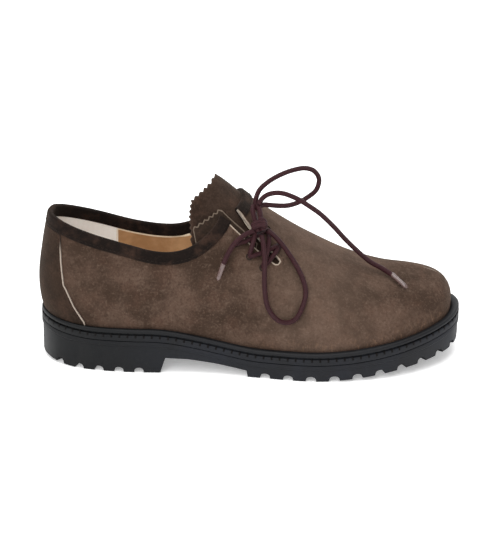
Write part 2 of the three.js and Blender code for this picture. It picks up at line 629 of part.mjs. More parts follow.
// The bow's knot: a barrel of wound lace, waisted by the turn that holds it.
function laceKnot() {
  const half = KNOT.length / 2;
  const wide = KNOT.thick / 2;
  const profile = [[0, -half], [0.62 * wide, -half], [wide, -0.62 * half], [0.8 * wide, -0.3 * half],
    [0.98 * wide, 0], [0.8 * wide, 0.3 * half], [wide, 0.62 * half], [0.62 * wide, half], [0, half]];
  const barrel = new THREE.LatheGeometry(profile.map(([x, y]) => new THREE.Vector2(x, y)), 12);
  const top = new THREE.Vector3(...fromHeelRear(KNOT.top));
  const bottom = new THREE.Vector3(...fromHeelRear(KNOT.bottom));
  const turn = new THREE.Quaternion().setFromUnitVectors(new THREE.Vector3(0, 1, 0),
    top.clone().sub(bottom).normalize());
  barrel.applyQuaternion(turn);
  barrel.translate(...top.add(bottom).multiplyScalar(0.5).toArray());
  return solidOf(barrel);
}

// The hard tip beyond the end of a lace.
function aglet(route, tip) {
  const from = new THREE.Vector3(...fromHeelRear(route.at(-1)));
  const to = new THREE.Vector3(...fromHeelRear(tip));
  const away = to.clone().sub(from).normalize();
  return tube([from.addScaledVector(away, GAP).toArray(), to.toArray()], AGLET_THICK);
}

const cut = opening();
addMesh('outsole', outsole(), RUBBER);
addMesh('midsole', midsole(), RUBBER);
addMesh('welt', welt(), RUBBER);
addMesh('insole', insole(), LEATHER);
addMesh('upper', upper(cut), SUEDE);
addMesh('collar_band', collarBand(), DARK_SUEDE);
addMesh('heel_strip', heelStrip(), SUEDE);
addMesh('tongue', tongue(), SUEDE);
addMesh('facing_underlay', facingUnderlay(), DARK_SUEDE);
addMesh('lace_bars', laceBars(), CORD);
addMesh('lace_knot', laceKnot(), CORD);
addMesh('lace_loop_upper', freeCord(LOOP_UPPER), CORD);
addMesh('lace_loop_side', freeCord(LOOP_SIDE), CORD);
addMesh('lace_end_front', freeCord(END_FRONT), CORD);
addMesh('lace_end_side', freeCord(END_SIDE), CORD);
addMesh('aglet_front', aglet(END_FRONT, AGLET_FRONT), TIP);
addMesh('aglet_side', aglet(END_SIDE, AGLET_SIDE), TIP);

export default shoe;
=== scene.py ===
import math

import bpy
import numpy as np
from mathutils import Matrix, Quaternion, Vector


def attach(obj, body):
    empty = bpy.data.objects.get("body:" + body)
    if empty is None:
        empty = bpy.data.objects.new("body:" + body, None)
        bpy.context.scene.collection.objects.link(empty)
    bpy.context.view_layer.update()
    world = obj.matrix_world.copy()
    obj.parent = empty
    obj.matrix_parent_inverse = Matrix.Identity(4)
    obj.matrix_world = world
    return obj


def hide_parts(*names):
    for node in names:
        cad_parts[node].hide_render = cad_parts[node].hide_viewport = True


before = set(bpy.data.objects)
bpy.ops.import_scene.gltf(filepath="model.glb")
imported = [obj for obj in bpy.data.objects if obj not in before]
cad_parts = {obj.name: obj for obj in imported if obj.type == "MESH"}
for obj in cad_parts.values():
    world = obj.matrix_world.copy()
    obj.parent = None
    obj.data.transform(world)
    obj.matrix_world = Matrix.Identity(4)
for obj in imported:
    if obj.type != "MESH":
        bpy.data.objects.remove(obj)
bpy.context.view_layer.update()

ROOT = "root"
# A small step, by which slopes on the last are measured.
NUDGE = 1e-3

# Sizes in millimetres, as the part has them, but for the lace: a braid's yarns stand out of its core,
# so the cord is drawn 0.3 thicker and its tips 0.2 thicker than the solids.
LENGTH, BALL_WIDTH, INSTEP_HEIGHT = 300, 106, 134
HEEL_SEAT, BALL_SEAT = 32.8, 21.2
TOE_SPRING, TOE_LIP, REAR_LIP = 11.8, 4.2, 4.4
HEEL_LENGTH, HEEL_REST, HEEL_BEVEL = 84.5, 38, 3
BREAST_LEAN, ARCH_RISE, TREAD_START = 4, 11.5, 146.5
COLLAR_TILT = 0.06
GAP, WALL = 0.3, 1.6
UNDERLAY_THICK, TONGUE_THICK = 0.9, 1.3
BAND_THICK, BAND_WIDTH = 0.8, 7.5
TOOTH = 3.5
WELT_SHOW, WELT_HEIGHT = 5, 3
MIDSOLE_THICK, MIDSOLE_GROOVE, INSOLE_THICK = 5.4, 1.1, 3
LUG_DEPTH, LUG_PITCH, LUG_FIRST, LUG_GROOVE, LUG_REACH = 3.8, 16.2, 12, 6.8, 17
# Notches along the heel, and the crosses that stand in the sunk middle of the tread.
HEEL_GROOVES = {"first": 13, "pitch": 14.2, "count": 5, "width": 6.2}
CROSS = {"long": 13, "wide": 4.4, "pitch": 22, "count": 5}
# How wide a plain rim is left round the tread's sunk middles.
KERB = 14
LACE, AGLET_THICK = 3.5, 3.6

# One row for each section of the last, as shares of the sizes above: along, lateral, medial, inset,
# topAlong, topMid, topSpread, topHeight, topSlope, footOut, footUp, topOut, topDown.
SECTIONS = np.array([
    (0.000, 0.000, 0.000, 0.52, 0.026, 0.000, 0.000, 0.850, 0.00, 0.092, 0.26, 0.06, 0.34),
    (0.018, -0.150, 0.150, 0.52, 0.035, 0.000, 0.100, 0.847, 0.00, 0.090, 0.26, 0.06, 0.34),
    (0.060, -0.258, 0.255, 0.60, 0.067, 0.000, 0.185, 0.830, 0.00, 0.085, 0.28, 0.06, 0.34),
    (0.130, -0.332, 0.312, 0.70, 0.133, 0.002, 0.248, 0.785, 0.00, 0.078, 0.30, 0.07, 0.32),
    (0.220, -0.368, 0.302, 0.80, 0.220, 0.000, 0.266, 0.750, 0.00, 0.075, 0.32, 0.07, 0.30),
    (0.320, -0.376, 0.262, 0.90, 0.293, 0.000, 0.262, 0.780, 0.00, 0.060, 0.34, 0.06, 0.26),
    (0.420, -0.398, 0.285, 0.96, 0.343, 0.005, 0.200, 0.950, -0.30, 0.050, 0.34, 0.12, 0.14),
    (0.520, -0.454, 0.362, 1.00, 0.403, 0.018, 0.000, 1.018, -0.86, 0.040, 0.34, 0.22, 0.03),
    (0.610, -0.502, 0.445, 1.00, 0.506, 0.028, 0.000, 0.838, -0.72, 0.040, 0.34, 0.28, 0.00),
    (0.690, -0.512, 0.497, 1.00, 0.600, 0.042, 0.000, 0.692, -0.60, 0.050, 0.32, 0.34, 0.00),
    (0.770, -0.485, 0.502, 1.00, 0.690, 0.057, 0.000, 0.576, -0.46, 0.050, 0.32, 0.38, 0.00),
    (0.850, -0.412, 0.465, 1.00, 0.780, 0.070, 0.000, 0.502, -0.26, 0.050, 0.34, 0.42, 0.00),
    (0.925, -0.285, 0.385, 1.06, 0.850, 0.080, 0.000, 0.477, -0.17, 0.050, 0.38, 0.46, 0.00),
    (0.974, -0.130, 0.262, 1.16, 0.887, 0.085, 0.000, 0.467, -0.19, 0.045, 0.41, 0.49, 0.00),
    (0.992, 0.075, 0.075, 1.24, 0.898, 0.085, 0.000, 0.463, -0.20, 0.040, 0.42, 0.51, 0.00)])
TOE_ROW = len(SECTIONS) - 1
# From this section on, the two sides meet at a ridge; behind it the last is open at the top.
PEAK_ROW = 7


# Lines of the cut pattern in the side view: shares of LENGTH and INSTEP_HEIGHT.
def share(rows):
    return [(a * LENGTH, h * INSTEP_HEIGHT) for a, h in rows]


BACK_RIM = [(-0.08, 0.802), (0.027, 0.801)]
LATERAL_RIM = share(BACK_RIM + [(0.051, 0.786), (0.098, 0.754), (0.160, 0.717), (0.215, 0.684),
                                (0.265, 0.655), (0.307, 0.648), (0.348, 0.676), (0.388, 0.735),
                                (0.415, 0.796), (0.427, 0.846)])
MEDIAL_RIM = share(BACK_RIM + [(0.043, 0.782), (0.080, 0.751), (0.130, 0.712), (0.183, 0.674), (0.230, 0.647),
                               (0.280, 0.632), (0.335, 0.636), (0.377, 0.672), (0.418, 0.752), (0.465, 0.850),
                               (0.489, 0.925)])
SLIT_OUTER = share([(0.470, 0.762), (0.490, 0.720), (0.549, 0.613), (0.555, 0.609)])
SLIT_INNER = share([(0.562, 0.618), (0.560, 0.630), (0.520, 0.711), (0.502, 0.759), (0.485, 0.804),
                    (0.4625, 0.868)])
OVER_RIDGE = share([(0.4625, 0.868), (0.481, 0.889), (0.489, 0.925)])
COUNTER_FRONT = share([(0.053, 0.708), (0.055, 0.580), (0.060, 0.462), (0.064, 0.448), (0.082, 0.356),
                       (0.107, 0.264), (0.112, 0.205)])
TONGUE_REAR = share([(0.414, 1.024), (0.386, 0.980), (0.356, 0.930), (0.350, 0.850), (0.352, 0.735)])
TONGUE_REAR_MEDIAL = share([(0.414, 1.024), (0.408, 0.940), (0.400, 0.870), (0.388, 0.800), (0.376, 0.720),
                            (0.366, 0.650)])
TONGUE_UNDER = share([(0.372, 0.610), (0.440, 0.500), (0.540, 0.450), (0.625, 0.520), (0.660, 0.700),
                      (0.600, 0.800)])
UNDERLAY_REAR = share([(0.360, 0.785), (0.395, 0.832), (0.425, 0.877)])
UNDERLAY_UNDER = share([(0.476, 0.788), (0.512, 0.715), (0.500, 0.640), (0.440, 0.600), (0.370, 0.670)])
OUTER_EYELETS = share([(0.459, 0.716), (0.491, 0.655), (0.522, 0.599)])
INNER_EYELETS = share([(0.502, 0.832), (0.533, 0.757), (0.562, 0.687)])
SKY = 1.3 * INSTEP_HEIGHT

# The knot's ends and the lace's routes, in millimetres from the heel's rest, as the solids have them.
# Only the upper loop goes on for its last two points, down into the knot.
KNOT = {"top": (113.2, -18.3, 119.0), "bottom": (116.7, -32.7, 105.7)}
LOOP_UPPER = [(113.2, -18.0, 119.0), (113.8, -16.6, 123.8), (116.2, -14.6, 129), (122.0, -12.0, 133.8),
              (129.6, -9.0, 137.5), (138.7, -5.0, 139.8), (147.8, -2.0, 140.4), (154.2, 0.0, 137.6),
              (157.8, 1.0, 131.3), (156.0, 0.0, 123.6), (150.2, -2.0, 118.9), (143.2, -5.0, 115.9),
              (136.1, -9.0, 115.2), (128.4, -12.5, 116.4), (122.6, -15.4, 118.0),
              (119.0, -17.0, 118.8), (116.4, -18.6, 118.6), (114.0, -20.0, 117.0)]
LOOP_SIDE = [(117.6, -34.0, 102.6), (118.8, -37.6, 97.0), (119.8, -43.0, 87.0), (119.6, -46.2, 77.4),
             (119.9, -47.7, 67.6), (121.4, -48.6, 56.8), (124.9, -49.0, 49.6), (130.0, -49.5, 44.8),
             (136.0, -50.0, 43.8), (141.6, -49.8, 46.6), (146.2, -47.6, 54.8), (148.4, -44.2, 64.0),
             (146.6, -40.4, 71.9), (142.4, -36.4, 80.0), (137.2, -32.4, 87.4), (130.6, -30.0, 96.0),
             (125.4, -29.2, 101.4), (121.6, -29.4, 104.8)]
END_FRONT = [(115.6, -20.6, 120.6), (118.0, -20.0, 124.6), (122.6, -20.0, 127.8), (130.9, -21.0, 129.0),
             (142.0, -21.0, 124.9), (150.4, -21.0, 119.5), (158.2, -20.0, 113.4), (167.5, -17.0, 103.1),
             (176.2, -13.6, 92.0), (186.0, -9.6, 80.6), (195.0, -8.0, 72.2), (203.0, -9.0, 67.9),
             (210.4, -12.8, 64.2)]
END_SIDE = [(112.0, -32.6, 105.4), (106.0, -35.4, 103.6), (99.0, -39.0, 98.6), (94.0, -40.0, 90.4),
            (91.0, -40.2, 83.2)]
AGLET_FRONT = (219.8, -20.8, 58.2)
AGLET_SIDE = (87.4, -41.4, 72.2)


# The last's surface: places on it are found from the sections, and points from the places.
def smooth(x):
    x = np.clip(x, 0, 1)
    return x * x * (3 - 2 * x)


def toe_share(x):
    """How far along the toe's rise a place lies: 0 up to the ball, 1 at the tip."""
    return np.clip((x / LENGTH - 0.64) / 0.36, 0, None)


def seat(x):
    """Height of the sole's upper edge."""
    a = x / LENGTH
    z = HEEL_SEAT + (BALL_SEAT - HEEL_SEAT) * smooth((a - 0.25) / 0.28)
    z = z + TOE_SPRING * toe_share(x) ** 1.5 + TOE_LIP * toe_share(x) ** 3
    return z + REAR_LIP * np.clip(1 - a / 0.14, 0, None) ** 2


def ground(x):
    """Height of the tread before the arch is cut."""
    return TOE_SPRING * toe_share(x) ** 1.5 + HEEL_BEVEL * np.clip(1 - x / LENGTH / 0.09, 0, None) ** 1.5


def columns(r, side):
    """All columns of the sections at places r between the rows; column 1 is that side's width."""
    i = np.clip(np.floor(r).astype(int), 0, TOE_ROW - 1)
    f = (r - i)[..., None]
    picked = []
    for step in (-1, 0, 1, 2):
        k = i + step
        past = (k < 0) | (k > TOE_ROW)
        k = np.where(k < 0, -k, np.where(k > TOE_ROW, 2 * TOE_ROW - k, k))
        rows = SECTIONS[k].copy()
        outer_side = np.where(past, -side, side) < 0
        rows[..., 1] = np.where(outer_side, SECTIONS[k][..., 1], SECTIONS[k][..., 2])
        picked.append(rows)
    a, b, c, d = picked
    return 0.5 * (2 * b + (c - a) * f + (2 * a - 5 * b + 4 * c - d) * f ** 2
                  + (3 * b - a - 3 * c + d) * f ** 3)


def turned(r, side):
    """A place past either end, as the place on the other side that it stands for."""
    past = (r < 0) | (r > TOE_ROW)
    return np.where(r < 0, -r, np.where(r > TOE_ROW, 2 * TOE_ROW - r, r)), np.where(past, -side, side)


def edge(r, side, inset=0.0):
    """The sole's outline in plan, drawn in by inset, and the direction out of it."""
    def at(place):
        found = columns(*turned(place, side))
        return np.stack([found[..., 0] * LENGTH, found[..., 1] * BALL_WIDTH], -1)
    r, side = np.broadcast_arrays(np.asarray(r, float), np.asarray(side, float))
    along = at(r + NUDGE) - at(r - NUDGE)
    along /= np.linalg.norm(along, axis=-1, keepdims=True)
    out = np.stack([-side * along[..., 1], side * along[..., 0]], -1)
    return at(r) - out * np.broadcast_to(inset, r.shape)[..., None], out


def bare_skin(r, side, v):
    """Points of the last: a rib from the sole's edge (v = 0) to the top line (v = 1)."""
    r, side = turned(r, side)
    s = columns(r, side)
    foot2, out2 = edge(r, side, s[..., 3] * WELT_SHOW)
    foot = np.concatenate([foot2, seat(foot2[..., :1])], -1)
    spread = np.where(r >= PEAK_ROW, 0, np.maximum(s[..., 6], 0)) * BALL_WIDTH
    top = np.stack([s[..., 4] * LENGTH, s[..., 5] * BALL_WIDTH + side * spread,
                    s[..., 7] * INSTEP_HEIGHT + side * COLLAR_TILT * spread], -1)
    chord = np.linalg.norm(top - foot, axis=-1)[..., None]
    out = np.concatenate([out2, 0 * out2[..., :1]], -1)
    across = np.stack([out2[..., 0], out2[..., 1], out2[..., 0] * s[..., 8]], -1)
    up = np.array([0, 0, 1.0])
    low = foot + chord * (out * s[..., 9:10] + up * s[..., 10:11])
    high = top + chord * (across * s[..., 11:12] - up * s[..., 12:13])
    v = v[..., None]
    return foot * (1 - v) ** 3 + 3 * low * v * (1 - v) ** 2 + 3 * high * v * v * (1 - v) + top * v ** 3


def squares(r, side, v):
    """Unit directions square to the skin, pointing out."""
    along = bare_skin(r + NUDGE, side, v) - bare_skin(r - NUDGE, side, v)
    up = bare_skin(r, side, np.minimum(v + NUDGE, 1)) - bare_skin(r, side, v - NUDGE)
    out = -np.cross(along, up) * side[..., None]
    ridge = (v > 0.9995) & (r >= PEAK_ROW)
    slope = columns(*turned(r, side))[..., 8]
    out = np.where(ridge[..., None], np.stack([-slope, 0 * r, 1 + 0 * r], -1), out)
    return out / np.maximum(np.linalg.norm(out, axis=-1, keepdims=True), 1e-12)


def sides(q):
    """A place q runs from the toe round the inner side (negative), the heel (0) and the outer side."""
    return np.abs(q), np.where(q < 0, 1.0, -1.0)


def skin(q, v, offset=0.0):
    """Points of the last's surface at places q and shares v up the rib, moved out by offset."""
    q, v = np.broadcast_arrays(np.asarray(q, float), np.asarray(v, float))
    r, side = sides(q)
    points = bare_skin(r, side, v)
    if np.ndim(offset) or offset:
        points = points + squares(r, side, v) * np.broadcast_to(offset, q.shape)[..., None]
    return points


def nearest(points, q, v):
    """The places q, v on the skin that lie nearest to points, from a first guess."""
    q, v = q.copy(), v.copy()
    for _ in range(8):
        here = skin(q, v)
        dq = (skin(q + NUDGE, v) - skin(q - NUDGE, v)) / (2 * NUDGE)
        dv = (skin(q, v + NUDGE) - skin(q, v - NUDGE)) / (2 * NUDGE)
        gap = points - here
        a, b, c = (dq * dq).sum(-1), (dq * dv).sum(-1), (dv * dv).sum(-1)
        e, f = (dq * gap).sum(-1), (dv * gap).sum(-1)
        det = np.maximum(a * c - b * b, 1e-9)
        q = q + np.clip((e * c - f * b) / det, -0.3, 0.3)
        v = np.clip(v + np.clip((f * a - e * b) / det, -0.1, 0.1), -0.05, 1)
    return q, v


# Pattern lines in the side view, and cutting the leather along them.
def to_segments(line, x, z):
    """Distance from points in the side view to a line of straight pieces."""
    best = np.full(np.shape(x), 1e9)
    for (ax, az), (bx, bz) in zip(line[:-1], line[1:]):
        ux, uz = bx - ax, bz - az
        t = np.clip(((x - ax) * ux + (z - az) * uz) / (ux * ux + uz * uz), 0, 1)
        best = np.minimum(best, np.hypot(x - ax - t * ux, z - az - t * uz))
    return best


def signed(outline, x, z):
    """Distance to a closed outline in the side view, negative inside it."""
    closed = list(outline) + [outline[0]]
    within = np.zeros(np.shape(x), bool)
    for (ax, az), (bx, bz) in zip(closed[:-1], closed[1:]):
        if az == bz:
            continue
        crosses = (az > z) != (bz > z)
        within ^= crosses & (x < (bx - ax) * (z - az) / (bz - az) + ax)
    distance = to_segments(closed, x, z)
    return np.where(within, -distance, distance)


def eased(line, rounds=2):
    """A pattern line with its corners cut, so that it runs as a blade does."""
    for _ in range(rounds):
        soft = [line[0]]
        for (ax, az), (bx, bz) in zip(line[:-1], line[1:]):
            soft += [(ax * (1 - t) + bx * t, az * (1 - t) + bz * t) for t in (0.25, 0.75)]
        line = soft + [line[-1]]
    return line


def pinked(line):
    """A line with pinked teeth standing out to its right."""
    teeth = [line[0]]
    for (ax, az), (bx, bz) in zip(line[:-1], line[1:]):
        long = math.hypot(bx - ax, bz - az)
        count = max(1, round(long / TOOTH))
        for k in range(count):
            t = (k + 0.5) / count
            teeth.append((ax + (bx - ax) * t + (bz - az) / long * TOOTH * 0.45,
                          az + (bz - az) * t - (bx - ax) / long * TOOTH * 0.45))
            teeth.append((ax + (bx - ax) * (k + 1) / count, az + (bz - az) * (k + 1) / count))
    return teeth


SOFT_LATERAL, SOFT_MEDIAL = eased(LATERAL_RIM), eased(MEDIAL_RIM)
SOFT_INNER = eased(SLIT_INNER)
LATERAL_OPENING = (SOFT_LATERAL + SLIT_OUTER + SOFT_INNER + OVER_RIDGE[1:]
                   + [(OVER_RIDGE[-1][0], SKY), (LATERAL_RIM[0][0], SKY)])
MEDIAL_OPENING = SOFT_MEDIAL + [(MEDIAL_RIM[-1][0], SKY), (MEDIAL_RIM[0][0], SKY)]


def by_side(lateral, medial, y):
    """Blends what holds on the outer side with what holds on the inner side, over the ridge."""
    return lateral + (medial - lateral) * smooth((y + 2) / 4)


def within_upper(p):
    """Negative where the upper's leather is, in millimetres from its cut edge."""
    x, y, z = p[..., 0], p[..., 1], p[..., 2]
    return by_side(-signed(LATERAL_OPENING, x, z), -signed(MEDIAL_OPENING, x, z), y)


def from_rim(p):
    """Distance from the collar's line, which the band follows."""
    x, y, z = p[..., 0], p[..., 1], p[..., 2]
    lateral = np.minimum(to_segments(SOFT_LATERAL, x, z), to_segments(OVER_RIDGE, x, z))
    return by_side(lateral, to_segments(SOFT_MEDIAL, x, z), y)


def cut_runs(q, v, field):
    """The lines on a grid where field is zero, as runs of places (q, v)."""
    n, m = field.shape
    inside = field <= 0
    spots, links = {}, {}

    def met(a, b):
        key = (min(a, b), max(a, b))
        if key not in spots:
            t = field.flat[key[0]] / (field.flat[key[0]] - field.flat[key[1]])
            spots[key] = [w.flat[key[0]] * (1 - t) + w.flat[key[1]] * t for w in (q, v)]
        return key

    count = inside[:-1, :-1].astype(int) + inside[1:, :-1] + inside[1:, 1:] + inside[:-1, 1:]
    for i, j in zip(*np.nonzero((count > 0) & (count < 4))):
        ring = [i * m + j, (i + 1) * m + j, (i + 1) * m + j + 1, i * m + j + 1]
        crossed = [met(a, b) for a, b in zip(ring, ring[1:] + ring[:1]) if inside.flat[a] != inside.flat[b]]
        for a, b in zip(crossed[::2], crossed[1::2]):
            links.setdefault(a, []).append(b)
            links.setdefault(b, []).append(a)
    runs, used = [], set()
    for start in sorted(links, key=lambda k: (len(links[k]) != 1, k)):
        if start in used:
            continue
        run, here = [], start
        while here is not None:
            used.add(here)
            run.append(spots[here])
            here = next((k for k in links[here] if k not in used), None)
        runs.append(np.array(run))
    return [run for run in runs if len(run) > 3]


def evenly(points, pitch):
    """Indices, as decimals, of places one pitch apart along a run of points."""
    gone = np.concatenate([[0], np.cumsum(np.linalg.norm(np.diff(points, axis=0), axis=1))])
    count = max(2, int(round(gone[-1] / pitch)) + 1)
    return np.interp(np.linspace(0, gone[-1], count), gone, np.arange(len(points)))


def sampled(values, places):
    """Rows of values at places between the rows."""
    rows = np.arange(len(values))
    return np.stack([np.interp(places, rows, column) for column in values.T], -1)


def softened(run, rounds):
    """A run with each inner point drawn towards its neighbours."""
    for _ in range(rounds):
        run = np.concatenate([run[:1], (run[:-2] + 2 * run[1:-1] + run[2:]) / 4, run[-1:]])
    return run


# Making pieces. Leather and sole follow the last's own surface, which no primitive gives, so their
# meshes are laid out over it; stitches, rings, blocks and the crosses' cutters start from primitives.
def to_metres(points):
    """Millimetres from the rear of the heel, as metres from its rest."""
    return (np.asarray(points, float) - [HEEL_REST, 0, 0]) / 1000


def alone(obj=None):
    """Selects one piece, or none."""
    if bpy.context.object and bpy.context.object.mode != "OBJECT":
        bpy.ops.object.mode_set(mode="OBJECT")
    bpy.ops.object.select_all(action="DESELECT")
    if obj:
        obj.select_set(True)
        bpy.context.view_layer.objects.active = obj


def mesh_piece(name, points, faces, attributes=None):
    """A piece from points in millimetres and faces."""
    mesh = bpy.data.meshes.new(name)
    mesh.from_pydata(to_metres(points).tolist(), [], [list(map(int, f)) for f in faces])
    for key, values in (attributes or {}).items():
        layer = mesh.attributes.new(key, "FLOAT", "POINT")
        layer.data.foreach_set("value", np.asarray(values, np.float32).ravel())
    mesh.polygons.foreach_set("use_smooth", [True] * len(mesh.polygons))
    obj = bpy.data.objects.new(name, mesh)
    bpy.context.scene.collection.objects.link(obj)
    return obj


def modify(obj, kind, **settings):
    """Adds a modifier and applies it."""
    alone(obj)
    modifier = obj.modifiers.new(kind.lower(), kind)
    for key, value in settings.items():
        setattr(modifier, key, value)
    bpy.ops.object.modifier_apply(modifier=modifier.name)
    return obj


def in_edit(obj, *steps):
    """Runs edit-mode steps on all of a piece."""
    alone(obj)
    bpy.ops.object.mode_set(mode="EDIT")
    bpy.ops.mesh.select_all(action="SELECT")
    for step, settings in steps:
        step(**settings)
    bpy.ops.object.mode_set(mode="OBJECT")
    return obj


def keep(obj, slot, *nodes, angle=None):
    """Rides a finished piece on the shoe and hides the solids that it stands for; slot is not used."""
    alone(obj)
    if angle:
        bpy.ops.object.shade_smooth_by_angle(angle=math.radians(angle))
    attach(obj, ROOT)
    if nodes:
        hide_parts(*nodes)
    return obj


# Soft troughs and ridges of the worn-in leather: side, start, end, half width and depth in mm.
CREASES = [
    (-1, (104, 76), (128, 58), 4.5, 0.9),
    (-1, (96, 66), (118, 48), 5.0, 0.6),
    (-1, (34, 74), (52, 60), 5.5, 0.6),
    (-1, (176, 66), (190, 44), 5.0, 0.7),
    (-1, (190, 70), (204, 50), 5.5, 0.6),
    (1, (104, 78), (126, 60), 4.5, 0.8),
    (1, (178, 68), (192, 46), 5.0, 0.7),
    (1, (192, 70), (206, 52), 5.5, 0.5),
    (1, (36, 72), (52, 58), 5.5, 0.5),
]


def relief(p, side):
    """How far the leather stands out of the last: the creases above and a slow unevenness."""
    x, z = p[..., 0], p[..., 2]
    lift = 0.18 * np.sin(x / 13 + 1.3 * np.sin(z / 17)) * np.sin(z / 11 + 0.6 + side)
    for own, start, end, wide, deep in CREASES:
        d = to_segments([start, end], x, z)
        lift = lift + np.where(side == own, deep * (0.45 * np.exp(-((d - 1.7 * wide) / wide) ** 2)
                                                    - np.exp(-(d / wide) ** 2)), 0)
    return lift


def laid_grid(spans, low, high, steps_q, steps_v):
    """Grids of places over the last, one for each span of q."""
    return [np.meshgrid(np.linspace(a, b, steps_q + 1), np.linspace(low, high, steps_v + 1), indexing="ij")
            for a, b in spans]


def panel(name, grids, field, offset, thick, soft=True):
    """A piece of leather laid over the last and cut along its pattern line.

    thick is the wall in millimetres and the finishes of its outer face, inner face and cut edge.
    Its points carry their distance from the cut edge and their height over the sole, in millimetres.
    """
    points, faces, cut, foot = [], [], [], []
    for q, v in grids:
        base = len(points)
        r, side = sides(q)
        plain = skin(q, v)
        lift = offset(side, v) if callable(offset) else offset
        if soft:
            lift = lift + relief(plain, side) * smooth(v / 0.12) * smooth((1 - v) / 0.1)
        placed = skin(q, v, lift)
        f = field(plain)
        n, m = f.shape
        inside = f <= 0
        flat, flat_f = placed.reshape(-1, 3), f.ravel()
        high_up = (plain[..., 2] - seat(plain[..., 0])).ravel()
        number, spots = {}, {}

        def corner(a):
            if a not in number:
                number[a] = len(points)
                points.append(flat[a])
                cut.append(-flat_f[a])
                foot.append(high_up[a])
            return number[a]

        def crossing(a, b):
            key = (min(a, b), max(a, b))
            if key not in spots:
                t = flat_f[key[0]] / (flat_f[key[0]] - flat_f[key[1]])
                spots[key] = len(points)
                points.append(flat[key[0]] * (1 - t) + flat[key[1]] * t)
                cut.append(0.0)
                foot.append(high_up[key[0]] * (1 - t) + high_up[key[1]] * t)
            return spots[key]

        for i in range(n - 1):
            for j in range(m - 1):
                ring = (i * m + j, (i + 1) * m + j, (i + 1) * m + j + 1, i * m + j + 1)
                kept = [inside.flat[a] for a in ring]
                if all(kept):
                    faces.append([corner(a) for a in ring])
                elif any(kept):
                    face = []
                    for k in range(4):
                        a, b = ring[k], ring[(k + 1) % 4]
                        if kept[k]:
                            face.append(corner(a))
                        if kept[k] != kept[(k + 1) % 4]:
                            face.append(crossing(a, b))
                    faces.append(face)
    obj = mesh_piece(name, np.array(points), faces, {"cut": cut, "foot": foot})
    in_edit(obj, (bpy.ops.mesh.remove_doubles, {"threshold": 1e-4}))
    for finish in thick[1:]:
        obj.data.materials.append(finish)
    modify(obj, "SOLIDIFY", thickness=thick[0] / 1000, offset=-1, material_offset=1, material_offset_rim=2)
    return obj


def lofted(name, loops, closed_section=False, attributes=None):
    """A body through loops of points; its ends are closed by strips from side to side."""
    loops = np.asarray(loops, float)
    count, n, _ = loops.shape
    faces = []
    for j in range(count if closed_section else count - 1):
        here, above = j * n, ((j + 1) % count) * n
        for k in range(n):
            nxt = (k + 1) % n
            faces.append((here + k, here + nxt, above + nxt, above + k))
    if not closed_section:
        top = (count - 1) * n
        for k in range(n // 2):
            far, nxt = (n - k) % n, n - k - 1
            low = [far, nxt, k + 1, k]
            high = [top + k, top + k + 1, top + nxt, top + far]
            for face in (low, high):
                kept = [a for i, a in enumerate(face) if a not in face[:i]]
                if len(kept) > 2:
                    faces.append(kept)
    return mesh_piece(name, loops.reshape(-1, 3), faces, attributes)


def around(count=150):
    """Places round the sole: heel, outer side, toe, inner side."""
    k = np.arange(2 * count)
    lateral = k <= count
    return TOE_ROW * np.where(lateral, k, 2 * count - k) / count, np.where(lateral, -1.0, 1.0)


RING_R, RING_SIDE = around()


def level(inset, height):
    """A loop round the sole, drawn in by inset, at a height worked out from the sole's own edge."""
    p = edge(RING_R, RING_SIDE, inset)[0]
    return np.stack([p[:, 0], p[:, 1], height(edge(RING_R, RING_SIDE)[0][:, 0])], -1)


# Finishes.
def linear(code):
    """A colour written in sRGB hex, as the shader's linear values."""
    parts = [int(code[i:i + 2], 16) / 255 for i in (1, 3, 5)]
    return [c / 12.92 if c <= 0.04045 else ((c + 0.055) / 1.055) ** 2.4 for c in parts] + [1.0]


def per_mm(size):
    """A pattern's scale in a texture node, from the real size of one grain in millimetres."""
    return 1000 / size


def add(tree, kind, inputs=None, **settings):
    """Adds a node with its settings, and sets or links its inputs."""
    made = tree.nodes.new("ShaderNode" + kind)
    for key, value in settings.items():
        setattr(made, key, value)
    for key, value in (inputs or {}).items():
        socket = made.inputs[key]
        if isinstance(value, bpy.types.NodeSocket):
            tree.links.new(value, socket)
        else:
            socket.default_value = value
    return made


def finish_of(name):
    """A new material and its shader."""
    material = bpy.data.materials.new(name)
    material.use_nodes = True
    tree = material.node_tree
    tree.nodes.clear()
    shader = add(tree, "BsdfPrincipled")
    add(tree, "OutputMaterial", {"Surface": shader.outputs["BSDF"]})
    return material, tree, shader


def noise(tree, size, detail=3.0, rough=0.55, warp=0.0, stretch=None):
    """A cloudy pattern whose grains are size millimetres across, in the shoe's own frame."""
    place = add(tree, "TexCoord").outputs["Object"]
    if stretch:
        place = add(tree, "Mapping", {"Vector": place, "Scale": stretch}).outputs["Vector"]
    return add(tree, "TexNoise", {"Vector": place, "Scale": per_mm(size), "Detail": detail,
                                  "Roughness": rough, "Distortion": warp}).outputs["Fac"]


def object_axis(tree, axis):
    """A place's X, Y or Z in the shoe's own frame, in metres."""
    place = add(tree, "TexCoord").outputs["Object"]
    return add(tree, "SeparateXYZ", {"Vector": place}).outputs[axis]


def ramp(tree, value, low, high, start=0.0, end=1.0):
    """Goes softly from start to end as value goes from low to high."""
    return add(tree, "MapRange", {"Value": value, "From Min": low, "From Max": high, "To Min": start,
                                  "To Max": end}, interpolation_type="SMOOTHSTEP").outputs["Result"]


def blend(tree, amount, first, second):
    """The first colour with an amount of the second over it; a colour may be a hex code."""
    mixed = add(tree, "Mix", data_type="RGBA", blend_type="MIX")
    for index, value in ((0, amount), (6, first), (7, second)):
        if isinstance(value, bpy.types.NodeSocket):
            tree.links.new(value, mixed.inputs[index])
        else:
            mixed.inputs[index].default_value = linear(value) if isinstance(value, str) else value
    return mixed.outputs[2]


